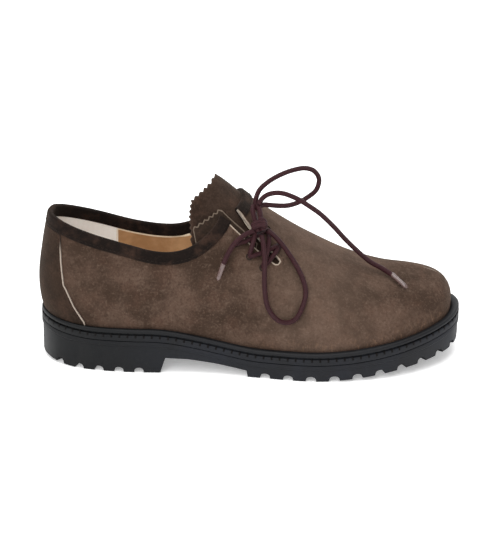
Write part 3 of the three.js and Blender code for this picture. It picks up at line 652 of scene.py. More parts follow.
def worked(tree, a, b, how="MULTIPLY"):
    """Two values multiplied, or put together in another way."""
    return add(tree, "Math", {0: a, 1: b}, operation=how).outputs["Value"]


def bumps(tree, shader, *layers):
    """Stacks layers of relief, each a height, its depth in millimetres and its strength."""
    normal = None
    for height, depth, strength in layers:
        inputs = {"Height": height, "Distance": depth / 1000, "Strength": strength}
        if normal:
            inputs["Normal"] = normal
        normal = add(tree, "Bump", inputs).outputs["Normal"]
    tree.links.new(normal, shader.inputs["Normal"])


# Suede is the buffed flesh side of leather: it scatters light from a short nap, so it has no gloss,
# a pale bloom at grazing angles and blotches where the nap lies one way or the other. Its cut edge
# frays pale, below edge_top; worn scuffs it at the welt, and with worn set the vamp's bend is also made
# paler.
def suede(name, deep, middle, pale, edge_pale, worn=0.0, edge_top=1.0):
    material, tree, shader = finish_of(name)
    blotch = noise(tree, 34, 4, 0.6)
    mottle = noise(tree, 7.5, 5, 0.7)
    nap = noise(tree, 1.7, 6, 0.75)
    colour = blend(tree, ramp(tree, blotch, 0.36, 0.64), deep, middle)
    colour = blend(tree, ramp(tree, noise(tree, 13, 4, 0.6), 0.45, 0.7, 0, 0.3), colour, "#553e33")
    colour = blend(tree, ramp(tree, mottle, 0.5, 0.75, 0, 0.3), colour, pale)
    colour = blend(tree, ramp(tree, mottle, 0.48, 0.3, 0, 0.4), colour, deep)
    colour = blend(tree, ramp(tree, nap, 0.5, 0.72, 0, 0.5), colour, pale)
    colour = blend(tree, ramp(tree, nap, 0.5, 0.3, 0, 0.8), colour, deep)
    cut = add(tree, "Attribute", attribute_name="cut").outputs["Fac"]
    foot = add(tree, "Attribute", attribute_name="foot").outputs["Fac"]
    along = object_axis(tree, "X")
    colour = blend(tree, ramp(tree, along, 0.045, -0.035, 0, 0.35), colour, deep)
    if worn:
        ahead = ramp(tree, along, 0.09, 0.15)
        scuffs = worked(tree, ramp(tree, noise(tree, 2.6, 4, 0.6, 0.6, (1.6, 1.6, 0.6)), 0.5, 0.68),
                        ramp(tree, foot, 13, 2, 0, worn))
        colour = blend(tree, worked(tree, scuffs, ahead), colour, "#7d614c")
        # Made paler over the vamp's bend, with worn set.
        vamp = worked(tree, ramp(tree, along, 0.1, 0.15, 0, 0.2), ramp(tree, along, 0.17, 0.215, 1, 0.15))
        colour = blend(tree, vamp, colour, pale)
    frayed = worked(tree, cut, worked(tree, nap, 0.9), "SUBTRACT")
    low_enough = ramp(tree, object_axis(tree, "Z"), edge_top, edge_top - 0.012)
    colour = blend(tree, worked(tree, ramp(tree, frayed, 0.5, 0.1, 0, 0.9), low_enough), colour, edge_pale)
    tree.links.new(colour, shader.inputs["Base Color"])
    shader.inputs["Roughness"].default_value = 0.95
    shader.inputs["Specular IOR Level"].default_value = 0.1
    shader.inputs["Sheen Weight"].default_value = 0.1
    shader.inputs["Sheen Roughness"].default_value = 0.5
    shader.inputs["Sheen Tint"].default_value = linear("#b8a595")
    bumps(tree, shader, (noise(tree, 9, 3), 0.5, 0.35), (mottle, 0.35, 0.45), (nap, 0.35, 0.8))
    return material


# Split leather's raw cut edge: fibrous, without nap, pale where the fibres are clean.
def raw_edge(name, deep, pale, edge_top=1.0):
    material, tree, shader = finish_of(name)
    fibre = noise(tree, 0.8, 4, 0.7, 0.6)
    colour = blend(tree, ramp(tree, noise(tree, 6, 3), 0.35, 0.7), blend(tree, fibre, deep, pale), deep)
    low_enough = ramp(tree, object_axis(tree, "Z"), edge_top, edge_top - 0.012)
    tree.links.new(blend(tree, low_enough, "#2a201a", colour), shader.inputs["Base Color"])
    shader.inputs["Roughness"].default_value = 0.9
    bumps(tree, shader, (fibre, 0.2, 0.6))
    return material


# Moulded rubber: black with a bluish bloom, satin, with a fine sandblasted grain from the mould, and painted
# shade that darkens it towards the heel.
def rubber(name, deep, bloom, rough):
    material, tree, shader = finish_of(name)
    cloud = noise(tree, 30, 4, 0.6, 0.5)
    grain = noise(tree, 0.9, 3, 0.6)
    colour = blend(tree, ramp(tree, cloud, 0.35, 0.7), deep, bloom)
    # Painted shade: the rubber is darkened towards the rear of the heel.
    colour = blend(tree, ramp(tree, object_axis(tree, "X"), 0.09, 0.0, 0, 0.85), colour, "#040506")
    colour = blend(tree, ramp(tree, grain, 0.6, 0.78, 0, 0.2), colour, "#3f4146")
    dust = worked(tree, ramp(tree, noise(tree, 4.5, 5, 0.7, 0.7), 0.56, 0.75), 0.06)
    colour = blend(tree, dust, colour, "#5d5a57")
    tree.links.new(colour, shader.inputs["Base Color"])
    tree.links.new(ramp(tree, cloud, 0.3, 0.7, rough - 0.06, rough + 0.1), shader.inputs["Roughness"])
    shader.inputs["Specular IOR Level"].default_value = 0.22
    bumps(tree, shader, (cloud, 0.25, 0.2), (grain, 0.12, 0.35))
    return material


# Vegetable-tanned lining leather: smooth, warm tan, faint pores, a soft shine where a foot rubs it.
def lining_leather(name, base, darker, edge_pale):
    material, tree, shader = finish_of(name)
    cloud = noise(tree, 18, 4, 0.55, 0.3)
    place = add(tree, "TexCoord").outputs["Object"]
    pores = add(tree, "TexVoronoi", {"Vector": place, "Scale": per_mm(0.9)}, feature="F1").outputs["Distance"]
    colour = blend(tree, ramp(tree, cloud, 0.35, 0.7), darker, base)
    colour = blend(tree, ramp(tree, pores, 0.25, 0.05, 0, 0.35), colour, darker)
    cut = add(tree, "Attribute", attribute_name="cut").outputs["Fac"]
    colour = blend(tree, ramp(tree, cut, 1.9, 1.5), colour, edge_pale)
    tree.links.new(colour, shader.inputs["Base Color"])
    shader.inputs["Roughness"].default_value = 0.55
    shader.inputs["Specular IOR Level"].default_value = 0.3
    bumps(tree, shader, (cloud, 0.3, 0.3), (pores, 0.08, 0.5))
    return material


# Woven lining cloth: off-white cotton, with threads just under a millimetre apart.
def lining_cloth():
    material, tree, shader = finish_of("woven_cotton_lining")
    place = add(tree, "TexCoord").outputs["Object"]
    weave = [add(tree, "TexWave", {"Vector": place, "Scale": per_mm(2.8), "Distortion": 0.4, "Detail": 1.0},
                 bands_direction=way).outputs["Fac"] for way in ("X", "Z")]
    threads = worked(tree, weave[0], weave[1], "MAXIMUM")
    colour = blend(tree, threads, "#e6e0da", "#fffdf8")
    colour = blend(tree, ramp(tree, noise(tree, 14, 4), 0.5, 0.75, 0, 0.35), colour, "#e9dfd5")
    tree.links.new(colour, shader.inputs["Base Color"])
    shader.inputs["Roughness"].default_value = 0.9
    bumps(tree, shader, (threads, 0.15, 0.5))
    return material


# Braided polyester cord: wine-brown yarns that cross at an angle, with a soft silky light along them.
def braid():
    material, tree, shader = finish_of("braided_polyester_cord")
    uv = add(tree, "UVMap", uv_map="along").outputs["UV"]
    waves = []
    for lean in (38, -38):
        place = add(tree, "Mapping", {"Vector": uv, "Rotation": (0, 0, math.radians(lean))}).outputs["Vector"]
        waves.append(add(tree, "TexWave", {"Vector": place, "Scale": 2.1, "Distortion": 0.3},
                         wave_profile="SIN").outputs["Fac"])
    yarn = worked(tree, waves[0], waves[1], "MAXIMUM")
    colour = blend(tree, ramp(tree, yarn, 0.25, 0.95), "#130406", "#350f16")
    colour = blend(tree, ramp(tree, noise(tree, 2.4, 3), 0.55, 0.8, 0, 0.3), colour, "#553033")
    tree.links.new(colour, shader.inputs["Base Color"])
    shader.inputs["Roughness"].default_value = 0.6
    shader.inputs["Specular IOR Level"].default_value = 0.25
    shader.inputs["Sheen Weight"].default_value = 0.05
    shader.inputs["Sheen Roughness"].default_value = 0.4
    shader.inputs["Sheen Tint"].default_value = linear("#a07876")
    bumps(tree, shader, (yarn, 0.3, 0.8))
    return material


# Acetate lace tip: a clear brownish sleeve, glossy, crimped round the cord.
def lace_tip():
    material, tree, shader = finish_of("acetate_lace_tip")
    streak = noise(tree, 1.5, 2)
    tree.links.new(blend(tree, streak, "#3a2624", "#6b5550"), shader.inputs["Base Color"])
    shader.inputs["Roughness"].default_value = 0.18
    shader.inputs["Coat Weight"].default_value = 0.6
    bumps(tree, shader, (streak, 0.1, 0.3))
    return material


# Waxed thread: round, tight, a shade off the leather it holds.
def thread(name, colour):
    material, tree, shader = finish_of(name)
    twist = noise(tree, 0.5, 2)
    tree.links.new(blend(tree, twist, colour, "#100c0b"), shader.inputs["Base Color"])
    shader.inputs["Roughness"].default_value = 0.7
    shader.inputs["Specular IOR Level"].default_value = 0.1
    return material


# Height in metres below which the heel strip's cut edge shows pale.
STRIP_EDGE_TOP = 0.094
SUEDE = suede("brown_napped_suede", "#34271f", "#514036", "#6c5a4e", "#a39485", worn=0.4)
STRIP_SUEDE = suede("heel_strip_suede", "#221913", "#33261e", "#45372d", "#a4978b",
                    edge_top=STRIP_EDGE_TOP)
BAND_SUEDE = suede("dark_binding_suede", "#110c0a", "#19120f", "#281f1b", "#2b231f")
TONGUE_SUEDE = suede("tongue_suede", "#221812", "#32261f", "#45372f", "#3d312a")
UNDERLAY_SUEDE = suede("underlay_suede", "#201813", "#2c221b", "#3c3028", "#62564b")
RAW_EDGE = raw_edge("clean_cut_leather_edge", "#6f6358", "#d8ccbf")
STRIP_EDGE = raw_edge("worn_cut_leather_edge", "#5b4f46", "#b3a699", edge_top=STRIP_EDGE_TOP)
UNDERLAY_EDGE = raw_edge("dyed_cut_leather_edge", "#3a2f28", "#7b6e60")
FLESH = lining_leather("flesh_side_leather", "#b08c66", "#8f6c4a", "#b08c66")
TAN_LINING = lining_leather("tan_lining_leather", "#b98f66", "#9a724c", "#ead9bd")
SOCK = lining_leather("insole_leather", "#c4a27a", "#a98257", "#c4a27a")
CLOTH = lining_cloth()
WALL_RUBBER = rubber("satin_black_rubber", "#0e0f13", "#191b21", 0.55)
WELT_RUBBER = rubber("welt_rubber", "#0b0b0e", "#131417", 0.5)
CORD = braid()
TIP = lace_tip()
BAND_THREAD = thread("dark_binding_thread", "#2b221d")
EDGE_THREAD = thread("brown_seam_thread", "#4c3c31")
WELT_THREAD = thread("black_waxed_welt_thread", "#060606")


# Camera, light and floor.
# The photograph's view, fitted to the shoe's outline: where the camera stands, what it looks at, how far
# it is tipped in degrees and how far its frame is shifted, in pixels of the photograph's height.
CAMERA_PLACE, CAMERA_AIM, CAMERA_TIP = (0.0957, -1.7994, 0.8090), (0.112, 0.0, 0.05), 0.38
FRAME_SHIFT, FRAME_HEIGHT = (-2.81, 11.4), 550
# Soft lights: name, place, side in metres and power in watts.
LIGHTS = [("overhead_softbox", (0.0, -0.2, 1.7), 1.5, 22.0), ("front_softbox", (-0.5, -1.6, 1.2), 1.0, 14.0),
          ("rear_softbox", (0.6, 1.4, 1.1), 1.2, 8.0)]
LIT_PLACE, ROOM_LIGHT = (0.11, 0, 0.05), 0.75


def aimed(name, data, place, target, tip=0.0):
    """A camera or a lamp at its place, turned to its target."""
    obj = bpy.data.objects.new(name, data)
    obj.location = place
    obj.rotation_mode = "QUATERNION"
    facing = (Vector(target) - Vector(place)).to_track_quat("-Z", "Y")
    obj.rotation_quaternion = facing @ Quaternion((0, 0, 1), math.radians(tip))
    bpy.context.scene.collection.objects.link(obj)
    return obj


def make_camera():
    """A long lens from the outer side, looking down 23 degrees."""
    data = bpy.data.cameras.new("camera")
    data.lens = 180
    data.sensor_width = 36
    data.shift_x, data.shift_y = (pixels / FRAME_HEIGHT for pixels in FRAME_SHIFT)
    bpy.context.scene.camera = aimed("camera", data, CAMERA_PLACE, CAMERA_AIM, CAMERA_TIP)


def make_light():
    """An even white room with three softboxes."""
    world = bpy.data.worlds.new("studio")
    world.use_nodes = True
    room = world.node_tree.nodes["Background"]
    room.inputs["Color"].default_value = (1, 1, 1, 1)
    room.inputs["Strength"].default_value = ROOM_LIGHT
    bpy.context.scene.world = world
    bpy.context.scene.view_settings.view_transform = "Standard"
    for name, place, size, power in LIGHTS:
        data = bpy.data.lights.new(name, "AREA")
        data.size, data.energy = size, power
        aimed(name, data, place, LIT_PLACE)


def make_floor():
    """Pale paper, with a little light of its own, as a lit table has."""
    alone()
    bpy.ops.mesh.primitive_plane_add(size=14, location=(0.1, 0, 0))
    floor = bpy.context.object
    floor.name = "floor"
    material, tree, shader = finish_of("pale_paper_floor")
    shader.inputs["Base Color"].default_value = linear("#fafafa")
    shader.inputs["Emission Color"].default_value = (1, 1, 1, 1)
    shader.inputs["Emission Strength"].default_value = 0.3
    shader.inputs["Roughness"].default_value = 0.9
    shader.inputs["Specular IOR Level"].default_value = 0.0
    floor.data.materials.append(material)


make_camera()
make_light()
make_floor()


# The lace, as one round cord: a knot, two loops, two ends and the crossings over the slit.
def curve_through(route, pitch):
    """Points one pitch apart on a smooth curve through a route, as the solids have it."""
    p = [np.array(x, float) for x in route]
    p = [2 * p[0] - p[1]] + p + [2 * p[-1] - p[-2]]
    found = []
    for a, b, c, d in zip(p, p[1:], p[2:], p[3:]):
        t0, t1, t2 = (max(np.linalg.norm(v - u) ** 0.5, 1e-4) for u, v in ((a, b), (b, c), (c, d)))
        m1 = ((b - a) / t0 - (c - a) / (t0 + t1) + (c - b) / t1) * t1
        m2 = ((c - b) / t1 - (d - b) / (t1 + t2) + (d - c) / t2) * t1
        for t in np.linspace(0, 1, 24, endpoint=False):
            found.append(b + m1 * t + (3 * (c - b) - 2 * m1 - m2) * t ** 2 + (2 * (b - c) + m1 + m2) * t ** 3)
    found = np.array(found + [p[-2]])
    return sampled(found, evenly(found, pitch))


def tube_mesh(name, line, thick, around_count=14, swell=None):
    """A round cord along a line of points, with its length and girth as texture coordinates."""
    along = np.gradient(line, axis=0)
    along /= np.linalg.norm(along, axis=1, keepdims=True)
    across = np.cross(along[0], [0.3, 0.2, 1])
    points, faces, uvs = [], [], []
    gone = np.concatenate([[0], np.cumsum(np.linalg.norm(np.diff(line, axis=0), axis=1))])
    count = len(line)
    girth = np.ones(count) if swell is None else swell
    for i in range(count):
        across = across - along[i] * (across @ along[i])
        across /= np.linalg.norm(across)
        other = np.cross(along[i], across)
        for k in range(around_count):
            a = 2 * math.pi * k / around_count
            points.append(line[i] + (across * math.cos(a) + other * math.sin(a)) * thick / 2 * girth[i])
    ends = [len(points), len(points) + 1]
    points += [line[0] - along[0] * 0.25 * thick, line[-1] + along[-1] * 0.25 * thick]
    for i in range(count - 1):
        for k in range(around_count):
            n = (k + 1) % around_count
            faces.append((i * around_count + k, i * around_count + n, (i + 1) * around_count + n,
                          (i + 1) * around_count + k))
            uvs += [(gone[i] / thick, k / around_count), (gone[i] / thick, (k + 1) / around_count),
                    (gone[i + 1] / thick, (k + 1) / around_count), (gone[i + 1] / thick, k / around_count)]
    last = (count - 1) * around_count
    for k in range(around_count):
        n = (k + 1) % around_count
        faces += [(ends[0], n, k), (ends[1], last + k, last + n)]
        uvs += [(0, 0.5)] * 3 + [(gone[-1] / thick, 0.5)] * 3
    obj = mesh_piece(name, points, faces)
    obj.data.uv_layers.new(name="along").data.foreach_set("uv", np.array(uvs, np.float32).ravel())
    return obj


def from_heel_rear(route):
    """A route measured from the heel's rest, as the last's tables are."""
    return [(x + HEEL_REST, y, z) for x, y, z in route]


def free_cord(name, route):
    """One hanging stretch of the lace."""
    line = curve_through(from_heel_rear(route), 0.9)
    piece = tube_mesh(name, line, LACE)
    piece.data.materials.append(CORD)
    keep(piece, "cord", name.replace("_cord", ""))


def aglet(name, route, tip):
    """A crimped sleeve beyond the end of a lace, a touch waisted, with a rounded tip."""
    start, end = (np.array(from_heel_rear([p])[0], float) for p in (route[-1], tip))
    line = start + (end - start) * np.linspace(-0.08, 1.0, 15)[:, None]
    girth = np.array([0.99, 1.06, 1.06, 1.0, 0.97, 0.96, 0.95, 0.95, 0.95, 0.94, 0.93, 0.92, 0.9, 0.8, 0.5])
    piece = tube_mesh(name + "_sleeve", line, AGLET_THICK, 16, girth)
    piece.data.materials.append(TIP)
    return keep(piece, "lace_tip", name)


KNOT_TOP, KNOT_BOTTOM = (np.array(from_heel_rear([KNOT[end]])[0], float) for end in ("top", "bottom"))
aglet_front = aglet("aglet_front", END_FRONT, AGLET_FRONT)
aglet_side = aglet("aglet_side", END_SIDE, AGLET_SIDE)
free_cord("lace_loop_upper_cord", LOOP_UPPER)
free_cord("lace_loop_side_cord", LOOP_SIDE)
free_cord("lace_end_front_cord", END_FRONT)
free_cord("lace_end_side_cord", END_SIDE)


def joined(name, parts):
    """Several pieces made one."""
    alone(parts[0])
    for part in parts:
        part.select_set(True)
    bpy.ops.object.join()
    parts[0].name = parts[0].data.name = name
    return parts[0]


def make_knot():
    """The bow's knot: two strands side by side, held by two turns of the lace round their middle."""
    axis = KNOT_TOP - KNOT_BOTTOM
    axis /= np.linalg.norm(axis)
    out = np.array([-0.15, -0.72, 0.68])
    out -= axis * (out @ axis)
    out /= np.linalg.norm(out)
    wide = np.cross(axis, out)
    middle = (KNOT_TOP + KNOT_BOTTOM) / 2 + out * 0.6
    parts = []
    for lean in (-1, 1):
        route = [middle + axis * a + wide * (lean * w) + out * h
                 for a, w, h in ((-10.4, 1.7, -0.6), (-8.0, 1.6, 0.3), (-5.0, 1.7, 0.5), (-1.5, 2.2, 1.0),
                                 (3.0, 2.4, 1.2), (6.5, 2.2, 0.7), (9.8, 1.4, -0.8))]
        parts.append(tube_mesh("strand", curve_through(route, 0.8), LACE))
    turns = []
    for k in range(34):
        angle = 2 * math.pi * 2.15 * k / 33 + 0.4
        turns.append(middle + axis * (-8.8 + 4.8 * k / 33 + 0.9 * math.sin(angle))
                     + wide * 4.2 * math.cos(angle) + out * (0.4 + 2.9 * math.sin(angle)))
    parts.append(tube_mesh("turns", curve_through(turns, 0.8), LACE))
    knot = joined("lace_knot_turns", parts)
    knot.data.materials.append(CORD)
    keep(knot, "cord", "lace_knot")


make_knot()


def spot(x, z):
    """The place on the outer side's skin that shows at a point of the side view."""
    q, v = np.array([7.0 + (x - 140) / 28]), np.array([0.7])
    for _ in range(30):
        here = skin(q, v)[0]
        dq = (skin(q + NUDGE, v)[0] - here) / NUDGE
        dv = (skin(q, v - NUDGE)[0] - here) / -NUDGE
        det = dq[0] * dv[2] - dq[2] * dv[0]
        q = q + np.clip(((x - here[0]) * dv[2] - (z - here[2]) * dv[0]) / det, -0.5, 0.5)
        v = np.clip(v + np.clip(((z - here[2]) * dq[0] - (x - here[0]) * dq[2]) / det, -0.1, 0.1), 0.02, 0.98)
    return float(q[0]), float(v[0])


def make_bars():
    """The lace across the slit: it comes up through one eyelet, crosses and goes down through another."""
    def bar(a, b, lift):
        route = []
        for t, up in ((0, -2.4), (0.03, -0.3), (0.1, 1.5), (0.3, 2.0 + lift), (0.5, 2.2 + lift),
                      (0.7, 2.0 + lift), (0.9, 1.5), (0.97, -0.3), (1, -2.4)):
            q, v = spot(a[0] + (b[0] - a[0]) * t, a[1] + (b[1] - a[1]) * t)
            route.append(skin(q, v, up))
        return tube_mesh("bar", curve_through(route, 0.8), 0.94 * LACE)
    parts = [bar(OUTER_EYELETS[-1], INNER_EYELETS[-1], 0.0)]
    for i in range(len(OUTER_EYELETS) - 1):
        parts.append(bar(OUTER_EYELETS[i], INNER_EYELETS[i + 1], 0.2))
        parts.append(bar(OUTER_EYELETS[i + 1], INNER_EYELETS[i], 2.6))
    bars = joined("lace_bars_crossed", parts)
    bars.data.materials.append(CORD)
    keep(bars, "cord", "lace_bars")


make_bars()


# Small things that repeat.
def template(make):
    """Points and faces of a small shape made by a primitive, which is then taken away."""
    alone()
    make()
    obj = bpy.context.object
    bpy.ops.object.transform_apply(location=True, rotation=True, scale=True)
    points = np.array([v.co for v in obj.data.vertices])
    faces = [list(f.vertices) for f in obj.data.polygons]
    bpy.data.objects.remove(obj)
    return points, faces


def scattered(name, shape, places, material, slot):
    """Copies of a small shape, each with its own place: centre, direction along, direction out, sizes."""
    base, base_faces = shape
    points, faces = [], []
    for centre, along, out, size in places:
        along = along / np.linalg.norm(along)
        out = out - along * (out @ along)
        out /= np.linalg.norm(out)
        across = np.cross(out, along)
        start = len(points)
        points += list(centre + base[:, :1] * along * size[0] + base[:, 1:2] * across * size[1]
                       + base[:, 2:3] * out * size[2])
        faces += [[start + a for a in f] for f in base_faces]
    piece = mesh_piece(name, np.array(points), faces)
    piece.data.materials.append(material)
    return keep(piece, slot)


STITCH = template(lambda: bpy.ops.mesh.primitive_uv_sphere_add(segments=8, ring_count=6, radius=0.5))
# Stitch by stitch in millimetres, and the length and thickness of the thread that shows.
STITCH_PITCH, STITCH_SHOWS, BAND_STITCH_SHOWS = 3.0, (2.1, 0.48), (2.2, 0.5)


def stitches(runs, shows):
    """Places of stitches along runs of (q, v, offset)."""
    long, thick = shows
    places = []
    for run in runs:
        line = skin(run[:, 0], run[:, 1], run[:, 2])
        out = squares(*sides(run[:, 0]), run[:, 1])
        at = evenly(line, STITCH_PITCH)
        line, out = sampled(line, at), sampled(out, at)
        along = np.gradient(line, axis=0)
        places += [(centre, way, square, (long, thick, thick))
                   for centre, way, square in zip(line[1:-1], along[1:-1], out[1:-1])]
    return places


# The upper, its lining and what is sewn to it.
upper = panel("suede_upper", laid_grid([(-TOE_ROW, TOE_ROW)], -0.03, 1, 460, 62), within_upper, 0,
              (WALL, SUEDE, FLESH, RAW_EDGE))
keep(upper, "suede", "upper", angle=60)


def stretches(mask, least=4):
    """The unbroken stretches of a mask, as slices."""
    ends = np.flatnonzero(np.diff(np.concatenate([[0], np.asarray(mask, int), [0]])))
    return [slice(a, b) for a, b in zip(ends[::2], ends[1::2]) if b - a >= least]


def longest(mask):
    """The longest unbroken stretch of a mask."""
    return max(stretches(mask, 0), key=lambda part: part.stop - part.start, default=slice(0, 0))


def rim_runs():
    """The collar's edge: from the slit's corner up to the ridge, then round the heel to the slit's tip."""
    q, v = np.meshgrid(np.linspace(-9.5, 9.5, 381), np.linspace(0.5, 1, 81), indexing="ij")
    parts = [run[part] for run in cut_runs(q, v, within_upper(skin(q, v)))
             for part in stretches(from_rim(skin(run[:, 0], run[:, 1])) < 0.5)]
    over, main = sorted(parts, key=len)[-2:]
    return [over if over[-1, 1] > over[0, 1] else over[::-1],
            main if main[0, 1] > main[-1, 1] else main[::-1]]


# The binding's section: distance down from the collar's edge and height out of the skin, from the outer
# face over the rolled top to the inner face. Its seam runs at one of these points.
BAND_SEAM = (5.6, 1.15)
BAND_ROLL = [(-(0.2 + 1.3 * math.sin(a)), -0.78 + 1.95 * math.cos(a))
             for a in np.linspace(0.15, math.pi - 0.15, 9)]
BAND_SECTION = ([(BAND_WIDTH, 0.35), (BAND_WIDTH - 0.05, 0.8), (BAND_WIDTH - 0.35, 1.08), BAND_SEAM,
                 (3.6, 1.2), (1.6, 1.2), (0.3, 1.17)] + BAND_ROLL
                + [(0.4, -2.73), (2.5, -2.75), (5.0, -2.75), (BAND_WIDTH - 0.4, -2.7), (BAND_WIDTH, -2.4),
                   (BAND_WIDTH, -1.9)])


def make_band():
    """The dark binding over the collar's edge, with its line of stitches."""
    columns_made, seams = [], []
    for run in rim_runs():
        base = skin(run[:, 0], run[:, 1])
        run = sampled(run, evenly(base, 1.3))
        run[:, 0], run[:, 1] = softened(run[:, :1], 2)[:, 0], softened(run[:, 1:2], 2)[:, 0]
        base = skin(run[:, 0], run[:, 1])
        out = squares(*sides(run[:, 0]), run[:, 1])
        along = np.gradient(base, axis=0)
        along /= np.linalg.norm(along, axis=1, keepdims=True)
        away = np.cross(out, along)
        away *= np.sign((within_upper(base + away) - within_upper(base - away)).mean())
        rows, seam = [], None
        for d, lift in BAND_SECTION:
            if d <= 0:
                rows.append(base + out * lift - away * d)
            else:
                q, v = nearest(base - away * d, run[:, 0], run[:, 1])
                rows.append(skin(q, v, lift))
                if d == BAND_SEAM[0]:
                    seam = np.stack([q, v, np.full_like(q, 1.2)], -1)
        columns_made.append(np.stack(rows, 1))
        seams.append(seam)
    loops = np.concatenate(columns_made)
    n = len(BAND_SECTION)
    faces = [(i * n + k, (i + 1) * n + k, (i + 1) * n + k + 1, i * n + k + 1)
             for i in range(len(loops) - 1) for k in range(n - 1)]
    first = loops[len(loops) // 2]
    second = loops[len(loops) // 2 + 1]
    facing = np.cross(second[3] - first[3], first[4] - first[3])
    if facing @ (first[3] - first[n - 4]) < 0:
        faces = [f[::-1] for f in faces]
    cut = np.tile([min(BAND_WIDTH - d, 9) + 0.9 for d, _ in BAND_SECTION], len(loops))
    band = mesh_piece("collar_binding", loops.reshape(-1, 3), faces, {"cut": cut, "foot": 0 * cut + 60})
    band.data.materials.append(BAND_SUEDE)
    modify(band, "SOLIDIFY", thickness=0.0006, offset=-1)
    keep(band, "dark_suede", "collar_band", angle=50)
    scattered("binding_stitches", STITCH, stitches(seams, BAND_STITCH_SHOWS), BAND_THREAD, "dark_suede")


make_band()

COUNTER = COUNTER_FRONT + [(COUNTER_FRONT[-1][0], 5), (-20, 5), (-20, SKY), (COUNTER_FRONT[0][0], SKY)]


def within_strip(p):
    """Negative where the strip over the back seam is, below the binding."""
    return np.maximum(signed(COUNTER, p[..., 0], p[..., 2]), BAND_WIDTH + 0.15 - from_rim(p))


strip = panel("heel_strip_leather", laid_grid([(-3.4, 3.4)], 0, 0.98, 200, 84), within_strip, 1.05,
              (BAND_THICK, STRIP_SUEDE, FLESH, STRIP_EDGE))
keep(strip, "suede", "heel_strip", angle=50)

TONGUE_OUTLINE = pinked(TONGUE_REAR[::-1])[::-1] + TONGUE_UNDER
UNDERLAY_OUTLINE = pinked(UNDERLAY_REAR[::-1])[::-1] + UNDERLAY_UNDER


def under_facing(side, v):
    """How deep the tongue lies: under the upper, and under the underlay on the outer side."""
    return -(WALL + GAP + np.where(side < 0, (UNDERLAY_THICK + GAP) * smooth((1 - v) / 0.25), 0))


TONGUE_BEHIND = pinked(TONGUE_REAR_MEDIAL[::-1])[::-1]
TONGUE_BEHIND += [(0, TONGUE_BEHIND[-1][1]), (0, SKY), (TONGUE_BEHIND[0][0], SKY)]


def within_tongue(p):
    """Negative where the tongue is; on the inner side its rear edge lies further forward."""
    both = signed(TONGUE_OUTLINE, p[..., 0], p[..., 2])
    inner = np.maximum(both, -signed(TONGUE_BEHIND, p[..., 0], p[..., 2]))
    return by_side(both, inner, p[..., 1] - 0.02 * BALL_WIDTH)


def within_underlay(p):
    """Negative where the underlay is, on the outer side alone."""
    return np.maximum(signed(UNDERLAY_OUTLINE, p[..., 0], p[..., 2]), p[..., 1] + 0.13 * BALL_WIDTH)


tongue = panel("pinked_tongue", laid_grid([(-9.8, -5.2), (5.2, 9.8)], 0.4, 1, 190, 96), within_tongue,
               under_facing, (TONGUE_THICK, TONGUE_SUEDE, FLESH, TONGUE_SUEDE), soft=False)
keep(tongue, "suede", "tongue", angle=50)

underlay = panel("pinked_underlay", laid_grid([(5.6, 8.9)], 0.5, 1, 170, 110), within_underlay,
                 -(WALL + 0.15), (UNDERLAY_THICK, UNDERLAY_SUEDE, FLESH, UNDERLAY_EDGE), soft=False)
keep(underlay, "dark_suede", "facing_underlay", angle=50)

# Where cloth at the heel meets tan leather at the sides, from the rear of the heel.
LINING_SEAM = 52


def lining(name, spans, finish, front_of):
    """A lining that ends just under the binding and lies on the upper's inner face."""
    made = panel(name, laid_grid(spans, 0.04, 1, 120, 60),
                 lambda p: np.maximum(np.maximum(within_upper(p), 7.0 - from_rim(p)), front_of(p[..., 0])),
                 -(WALL + 0.12), (0.35, finish, finish, finish))
    keep(made, "insole_leather", angle=50)


lining("heel_lining", [(-4.2, 4.2)], CLOTH, lambda x: x - LINING_SEAM - 1.5)
lining("quarter_lining", [(-8.5, -2.6), (2.6, 8.5)], TAN_LINING,
       lambda x: np.maximum(LINING_SEAM - x, x - 150))


def seam_runs(span, rise, field, lift, least):
    """Runs of (q, v, lift) where a field is zero, as far as they lie below the binding."""
    q, v = np.meshgrid(np.linspace(*span, 160), np.linspace(*rise, 90), indexing="ij")
    runs = cut_runs(q, v, field(skin(q, v)))
    runs = [run[longest(from_rim(skin(run[:, 0], run[:, 1])) > BAND_WIDTH + 1)] for run in runs]
    return [np.concatenate([run, np.full((len(run), 1), lift)], 1) for run in runs if len(run) > least]


slit_seams = seam_runs((5, 9), (0.5, 1), lambda p: within_upper(p) + 2.4, 0.05, 12)
strip_seams = seam_runs((-3.2, 3.2), (0.02, 0.95),
                        lambda p: signed(COUNTER, p[..., 0], p[..., 2]) + 1.9, 1.1, 8)
scattered("seam_stitches", STITCH, stitches(slit_seams + strip_seams, STITCH_SHOWS), EDGE_THREAD, "suede")

# A turned edge round each punched hole, in millimetres.
RING = template(lambda: bpy.ops.mesh.primitive_torus_add(major_radius=2.15, minor_radius=0.42,
                                                         major_segments=28, minor_segments=10))
eyelet_places = []
for x, z in OUTER_EYELETS + INNER_EYELETS:
    q, v = spot(x, z)
    centre = skin(q, v, 0.1)
    out = squares(*sides(np.array([q])), np.array([v]))[0]
    eyelet_places.append((centre, np.cross(out, [0, 0, 1.0]), out, (1, 1, 1)))
scattered("punched_eyelets", RING, eyelet_places, BAND_SUEDE, "dark_suede")


# The sole.
def make_insole():
    """The leather board that the foot stands on, hollowed a little towards its middle."""
    inset = columns(*turned(RING_R, RING_SIDE))[:, 3] * WELT_SHOW + WALL + GAP
    loops = []
    for inner, up in ((0, 0), (0, 0.7 * INSOLE_THICK), (0.35, 0.93 * INSOLE_THICK), (1.1, INSOLE_THICK),
                      (6, INSOLE_THICK), (14, INSOLE_THICK - 0.4), (22, INSOLE_THICK - 0.8)):
        p = edge(RING_R, RING_SIDE, inset + inner)[0]
        loops.append(np.stack([p[:, 0], p[:, 1], seat(p[:, 0]) - WELT_HEIGHT + up], -1))
    made = lofted("insole_board", loops, attributes={"cut": np.full(len(loops) * len(RING_R), 9.0)})
    made.data.materials.append(SOCK)
    keep(made, "insole_leather", "insole", angle=60)


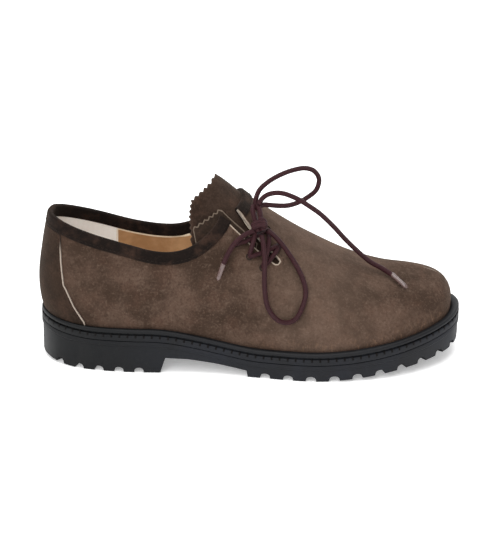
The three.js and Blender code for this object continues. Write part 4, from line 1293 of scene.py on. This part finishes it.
def make_welt():
    """The rounded rubber welt that shows between the suede and the wall of the sole."""
    inset = columns(*turned(RING_R, RING_SIDE))[:, 3] * WELT_SHOW - GAP
    inner, outer = edge(RING_R, RING_SIDE, inset)[0], edge(RING_R, RING_SIDE, 0.1)[0]
    loops = []
    for share_out, drop in ((0, 1.0), (0.5, 1.0), (0.85, 0.99), (0.95, 0.93), (0.99, 0.8), (1.0, 0.62),
                            (0.98, 0.42), (0.92, 0.22), (0.82, 0.08), (0.6, 0.0), (0.3, 0.0), (0.1, 0.06),
                            (0, 0.2)):
        p = inner + (outer - inner) * share_out
        loops.append(np.stack([p[:, 0], p[:, 1], seat(p[:, 0]) - drop * WELT_HEIGHT], -1))
    made = lofted("rubber_welt", loops, closed_section=True)
    made.data.materials.append(WELT_RUBBER)
    keep(made, "rubber", "welt", angle=60)


def make_midsole():
    """The wall's upper layer, with the narrow groove that the welt's stitches come out of."""
    top = WELT_HEIGHT + GAP
    loops = [level(inset, lambda x, d=drop: seat(x) - top - d) for inset, drop in
             ((0.35, MIDSOLE_THICK), (0.1, MIDSOLE_THICK - 0.15), (0, MIDSOLE_THICK - 0.5), (0, 1.9),
              (0.1, 1.4), (0.4, 1.1), (MIDSOLE_GROOVE, 0.95), (MIDSOLE_GROOVE + 0.6, 0.85),
              (MIDSOLE_GROOVE + 0.6, 0))]
    made = lofted("midsole_wall", loops)
    made.data.materials.append(WALL_RUBBER)
    keep(made, "rubber", "midsole", angle=50)


# The welt's stitches in millimetres: one to the next, how far in and down they lie, and length along the
# sole, height and depth.
WELT_STITCH_PITCH, WELT_STITCH_PLACE, WELT_STITCH_SIZE = 5.7, (0.22, 1.9), (1.2, 2.6, 0.5)


def make_welt_stitches():
    """The welt's thick black stitches, which come out of the groove and lie down the wall."""
    block = template(lambda: bpy.ops.mesh.primitive_cube_add(size=1))
    inset, drop = WELT_STITCH_PLACE
    line = level(inset, lambda x: seat(x) - WELT_HEIGHT - drop)
    out = edge(RING_R, RING_SIDE)[1]
    line, out = np.concatenate([line, line[:1]]), np.concatenate([out, out[:1]])
    at = evenly(line, WELT_STITCH_PITCH)[:-1]
    out = np.concatenate([out, 0 * out[:, :1]], 1)
    found = zip(*(sampled(values, at) for values in (line, np.gradient(line, axis=0), out)))
    places = [(*place, WELT_STITCH_SIZE) for place in found]
    scattered("welt_stitches", block, places, WELT_THREAD, "rubber")


make_insole()
make_welt()
make_midsole()
make_welt_stitches()


def prism(name, points):
    """A closed prism from the points of its two ends."""
    n = len(points) // 2
    faces = [tuple(range(n)), tuple(range(2 * n - 1, n - 1, -1))]
    faces += [(k, n + k, n + (k + 1) % n, (k + 1) % n) for k in range(n)]
    made = mesh_piece(name, points, faces)
    return in_edit(made, (bpy.ops.mesh.normals_make_consistent, {"inside": False}))


def side_prism(name, outline):
    """A prism right through the shoe, with its outline in the side view."""
    return prism(name, [(x, y, z) for y in (-BALL_WIDTH, BALL_WIDTH) for x, z in outline])


def row_at(x, side):
    """The place on a side whose edge of the sole lies at x."""
    low, high = 0.0, float(TOE_ROW)
    for _ in range(30):
        middle = (low + high) / 2
        if edge(middle, side)[0][..., 0] < x:
            low = middle
        else:
            high = middle
    return (low + high) / 2


def groove(r, side, width, reach):
    """A slot between two lugs with a round top, square to the sole's edge."""
    half = width / 2
    profile = [(-1.3 * half, -LUG_DEPTH), (1.3 * half, -LUG_DEPTH), (1.04 * half, 0.35 * LUG_DEPTH)]
    profile += [(half * math.cos(a), LUG_DEPTH * (0.45 + 0.55 * math.sin(a)))
                for a in np.linspace(0.2, 2.94, 8)]
    profile += [(-1.04 * half, 0.35 * LUG_DEPTH)]
    point, out = (w.ravel() for w in edge(r, side))
    across = np.array([-out[1], out[0]])
    points = []
    for far in (8, -reach):
        for u, z in profile:
            x, y = point + out * far + across * u
            points.append((x, y, ground(point[0]) + z))
    return prism("groove", points)


def tread_places():
    """Where the grooves between the lugs are: one pitch apart from the tread's start, round the toe."""
    start, stop = row_at(TREAD_START, -1.0), row_at(TREAD_START, 1.0)
    total = 2 * TOE_ROW - start - stop
    t = start + total * np.arange(1, 900) / 900
    r, side = np.where(t <= TOE_ROW, t, 2 * TOE_ROW - t), np.where(t <= TOE_ROW, -1.0, 1.0)
    p = edge(r, side)[0]
    gone, places = LUG_PITCH - LUG_FIRST + np.linalg.norm(p[0] - edge(start, -1.0)[0]), []
    for i in range(1, len(p)):
        gone += np.linalg.norm(p[i] - p[i - 1])
        if gone >= LUG_PITCH:
            places.append((r[i], side[i]))
            gone = 0
    return places


def carve(body, cutters):
    """Takes cutters away from a body, one group of separate solids at a time."""
    for group in cutters:
        tool = joined("cutter", group) if len(group) > 1 else group[0]
        modify(body, "BOOLEAN", operation="DIFFERENCE", object=tool, solver="MANIFOLD")
        bpy.data.objects.remove(tool)


def edge_middle(x):
    """The middle between both edges of the sole at x."""
    return float(sum(edge(row_at(x, side), side)[0].ravel()[1] for side in (-1.0, 1.0)) / 2)


def pocket(from_x, to_x, crosses):
    """The sunk middle of the tread, with its crosses left standing."""
    loops = [level(LUG_REACH + GAP, lambda x, h=h: ground(x) + h) for h in (-LUG_DEPTH, LUG_DEPTH)]
    hollow = lofted("pocket", loops)
    in_edit(hollow, (bpy.ops.mesh.normals_make_consistent, {"inside": False}))
    limits = side_prism("limits", [(from_x, -SKY), (to_x, -SKY), (to_x, SKY), (from_x, SKY)])
    modify(hollow, "BOOLEAN", operation="INTERSECT", object=limits, solver="MANIFOLD")
    bpy.data.objects.remove(limits)
    for x in crosses:
        for arm_size in ((CROSS["long"], CROSS["wide"]), (CROSS["wide"], CROSS["long"])):
            alone()
            bpy.ops.mesh.primitive_cube_add(size=1, location=to_metres((x, edge_middle(x), LUG_DEPTH)),
                                            scale=[w / 1000 for w in (*arm_size, 4 * LUG_DEPTH)])
            arm = bpy.context.object
            bpy.ops.object.transform_apply(location=True, rotation=True, scale=True)
            modify(hollow, "BOOLEAN", operation="DIFFERENCE", object=arm, solver="MANIFOLD")
            bpy.data.objects.remove(arm)
    return hollow


def make_outsole():
    """The tread: a body carved with the arch, the grooves at its rim and two sunk middles."""
    top = WELT_HEIGHT + MIDSOLE_THICK + 2 * GAP
    side = ((0.6, 0), (0.15, 0.12), (0, 0.6), (0, 3.2))
    loops = [level(inset, lambda x, u=up: ground(x) + u)
             for inset, up in ((1.4, 0), (0.95, 0.25), (0.8, 1.0))]
    loops += [level(0.7, lambda x: seat(x) - top - 4)]
    loops += [level(inset, lambda x, d=drop: seat(x) - top - d) for inset, drop in side[::-1]]
    body = lofted("lugged_outsole", loops)
    arch = [(HEEL_LENGTH - 1, -4), (HEEL_LENGTH + BREAST_LEAN, ARCH_RISE), (0.35 * LENGTH, 0.95 * ARCH_RISE),
            (0.41 * LENGTH, 0.75 * ARCH_RISE), (TREAD_START - 1, 0.43 * ARCH_RISE), (TREAD_START + 0.6, -4)]
    heel = [groove(row_at(HEEL_GROOVES["first"] + i * HEEL_GROOVES["pitch"], s), s, HEEL_GROOVES["width"],
                   0.7 * LUG_REACH) for i in range(HEEL_GROOVES["count"]) for s in (-1.0, 1.0)]
    tread = [groove(r, s, LUG_GROOVE, LUG_REACH + 2) for r, s in tread_places()]
    first = TREAD_START + 2 * KERB
    crosses = [first + i * CROSS["pitch"] for i in range(CROSS["count"])]
    carve(body, [[side_prism("arch", arch)], heel, tread[::3], tread[1::3], tread[2::3],
                 [pocket(TREAD_START + KERB, LENGTH - 1.5 * KERB, crosses)],
                 [pocket(KERB, HEEL_LENGTH - KERB, [HEEL_REST])]])
    body.data.materials.clear()
    body.data.materials.append(WALL_RUBBER)
    keep(body, "rubber", "outsole", angle=35)


make_outsole()
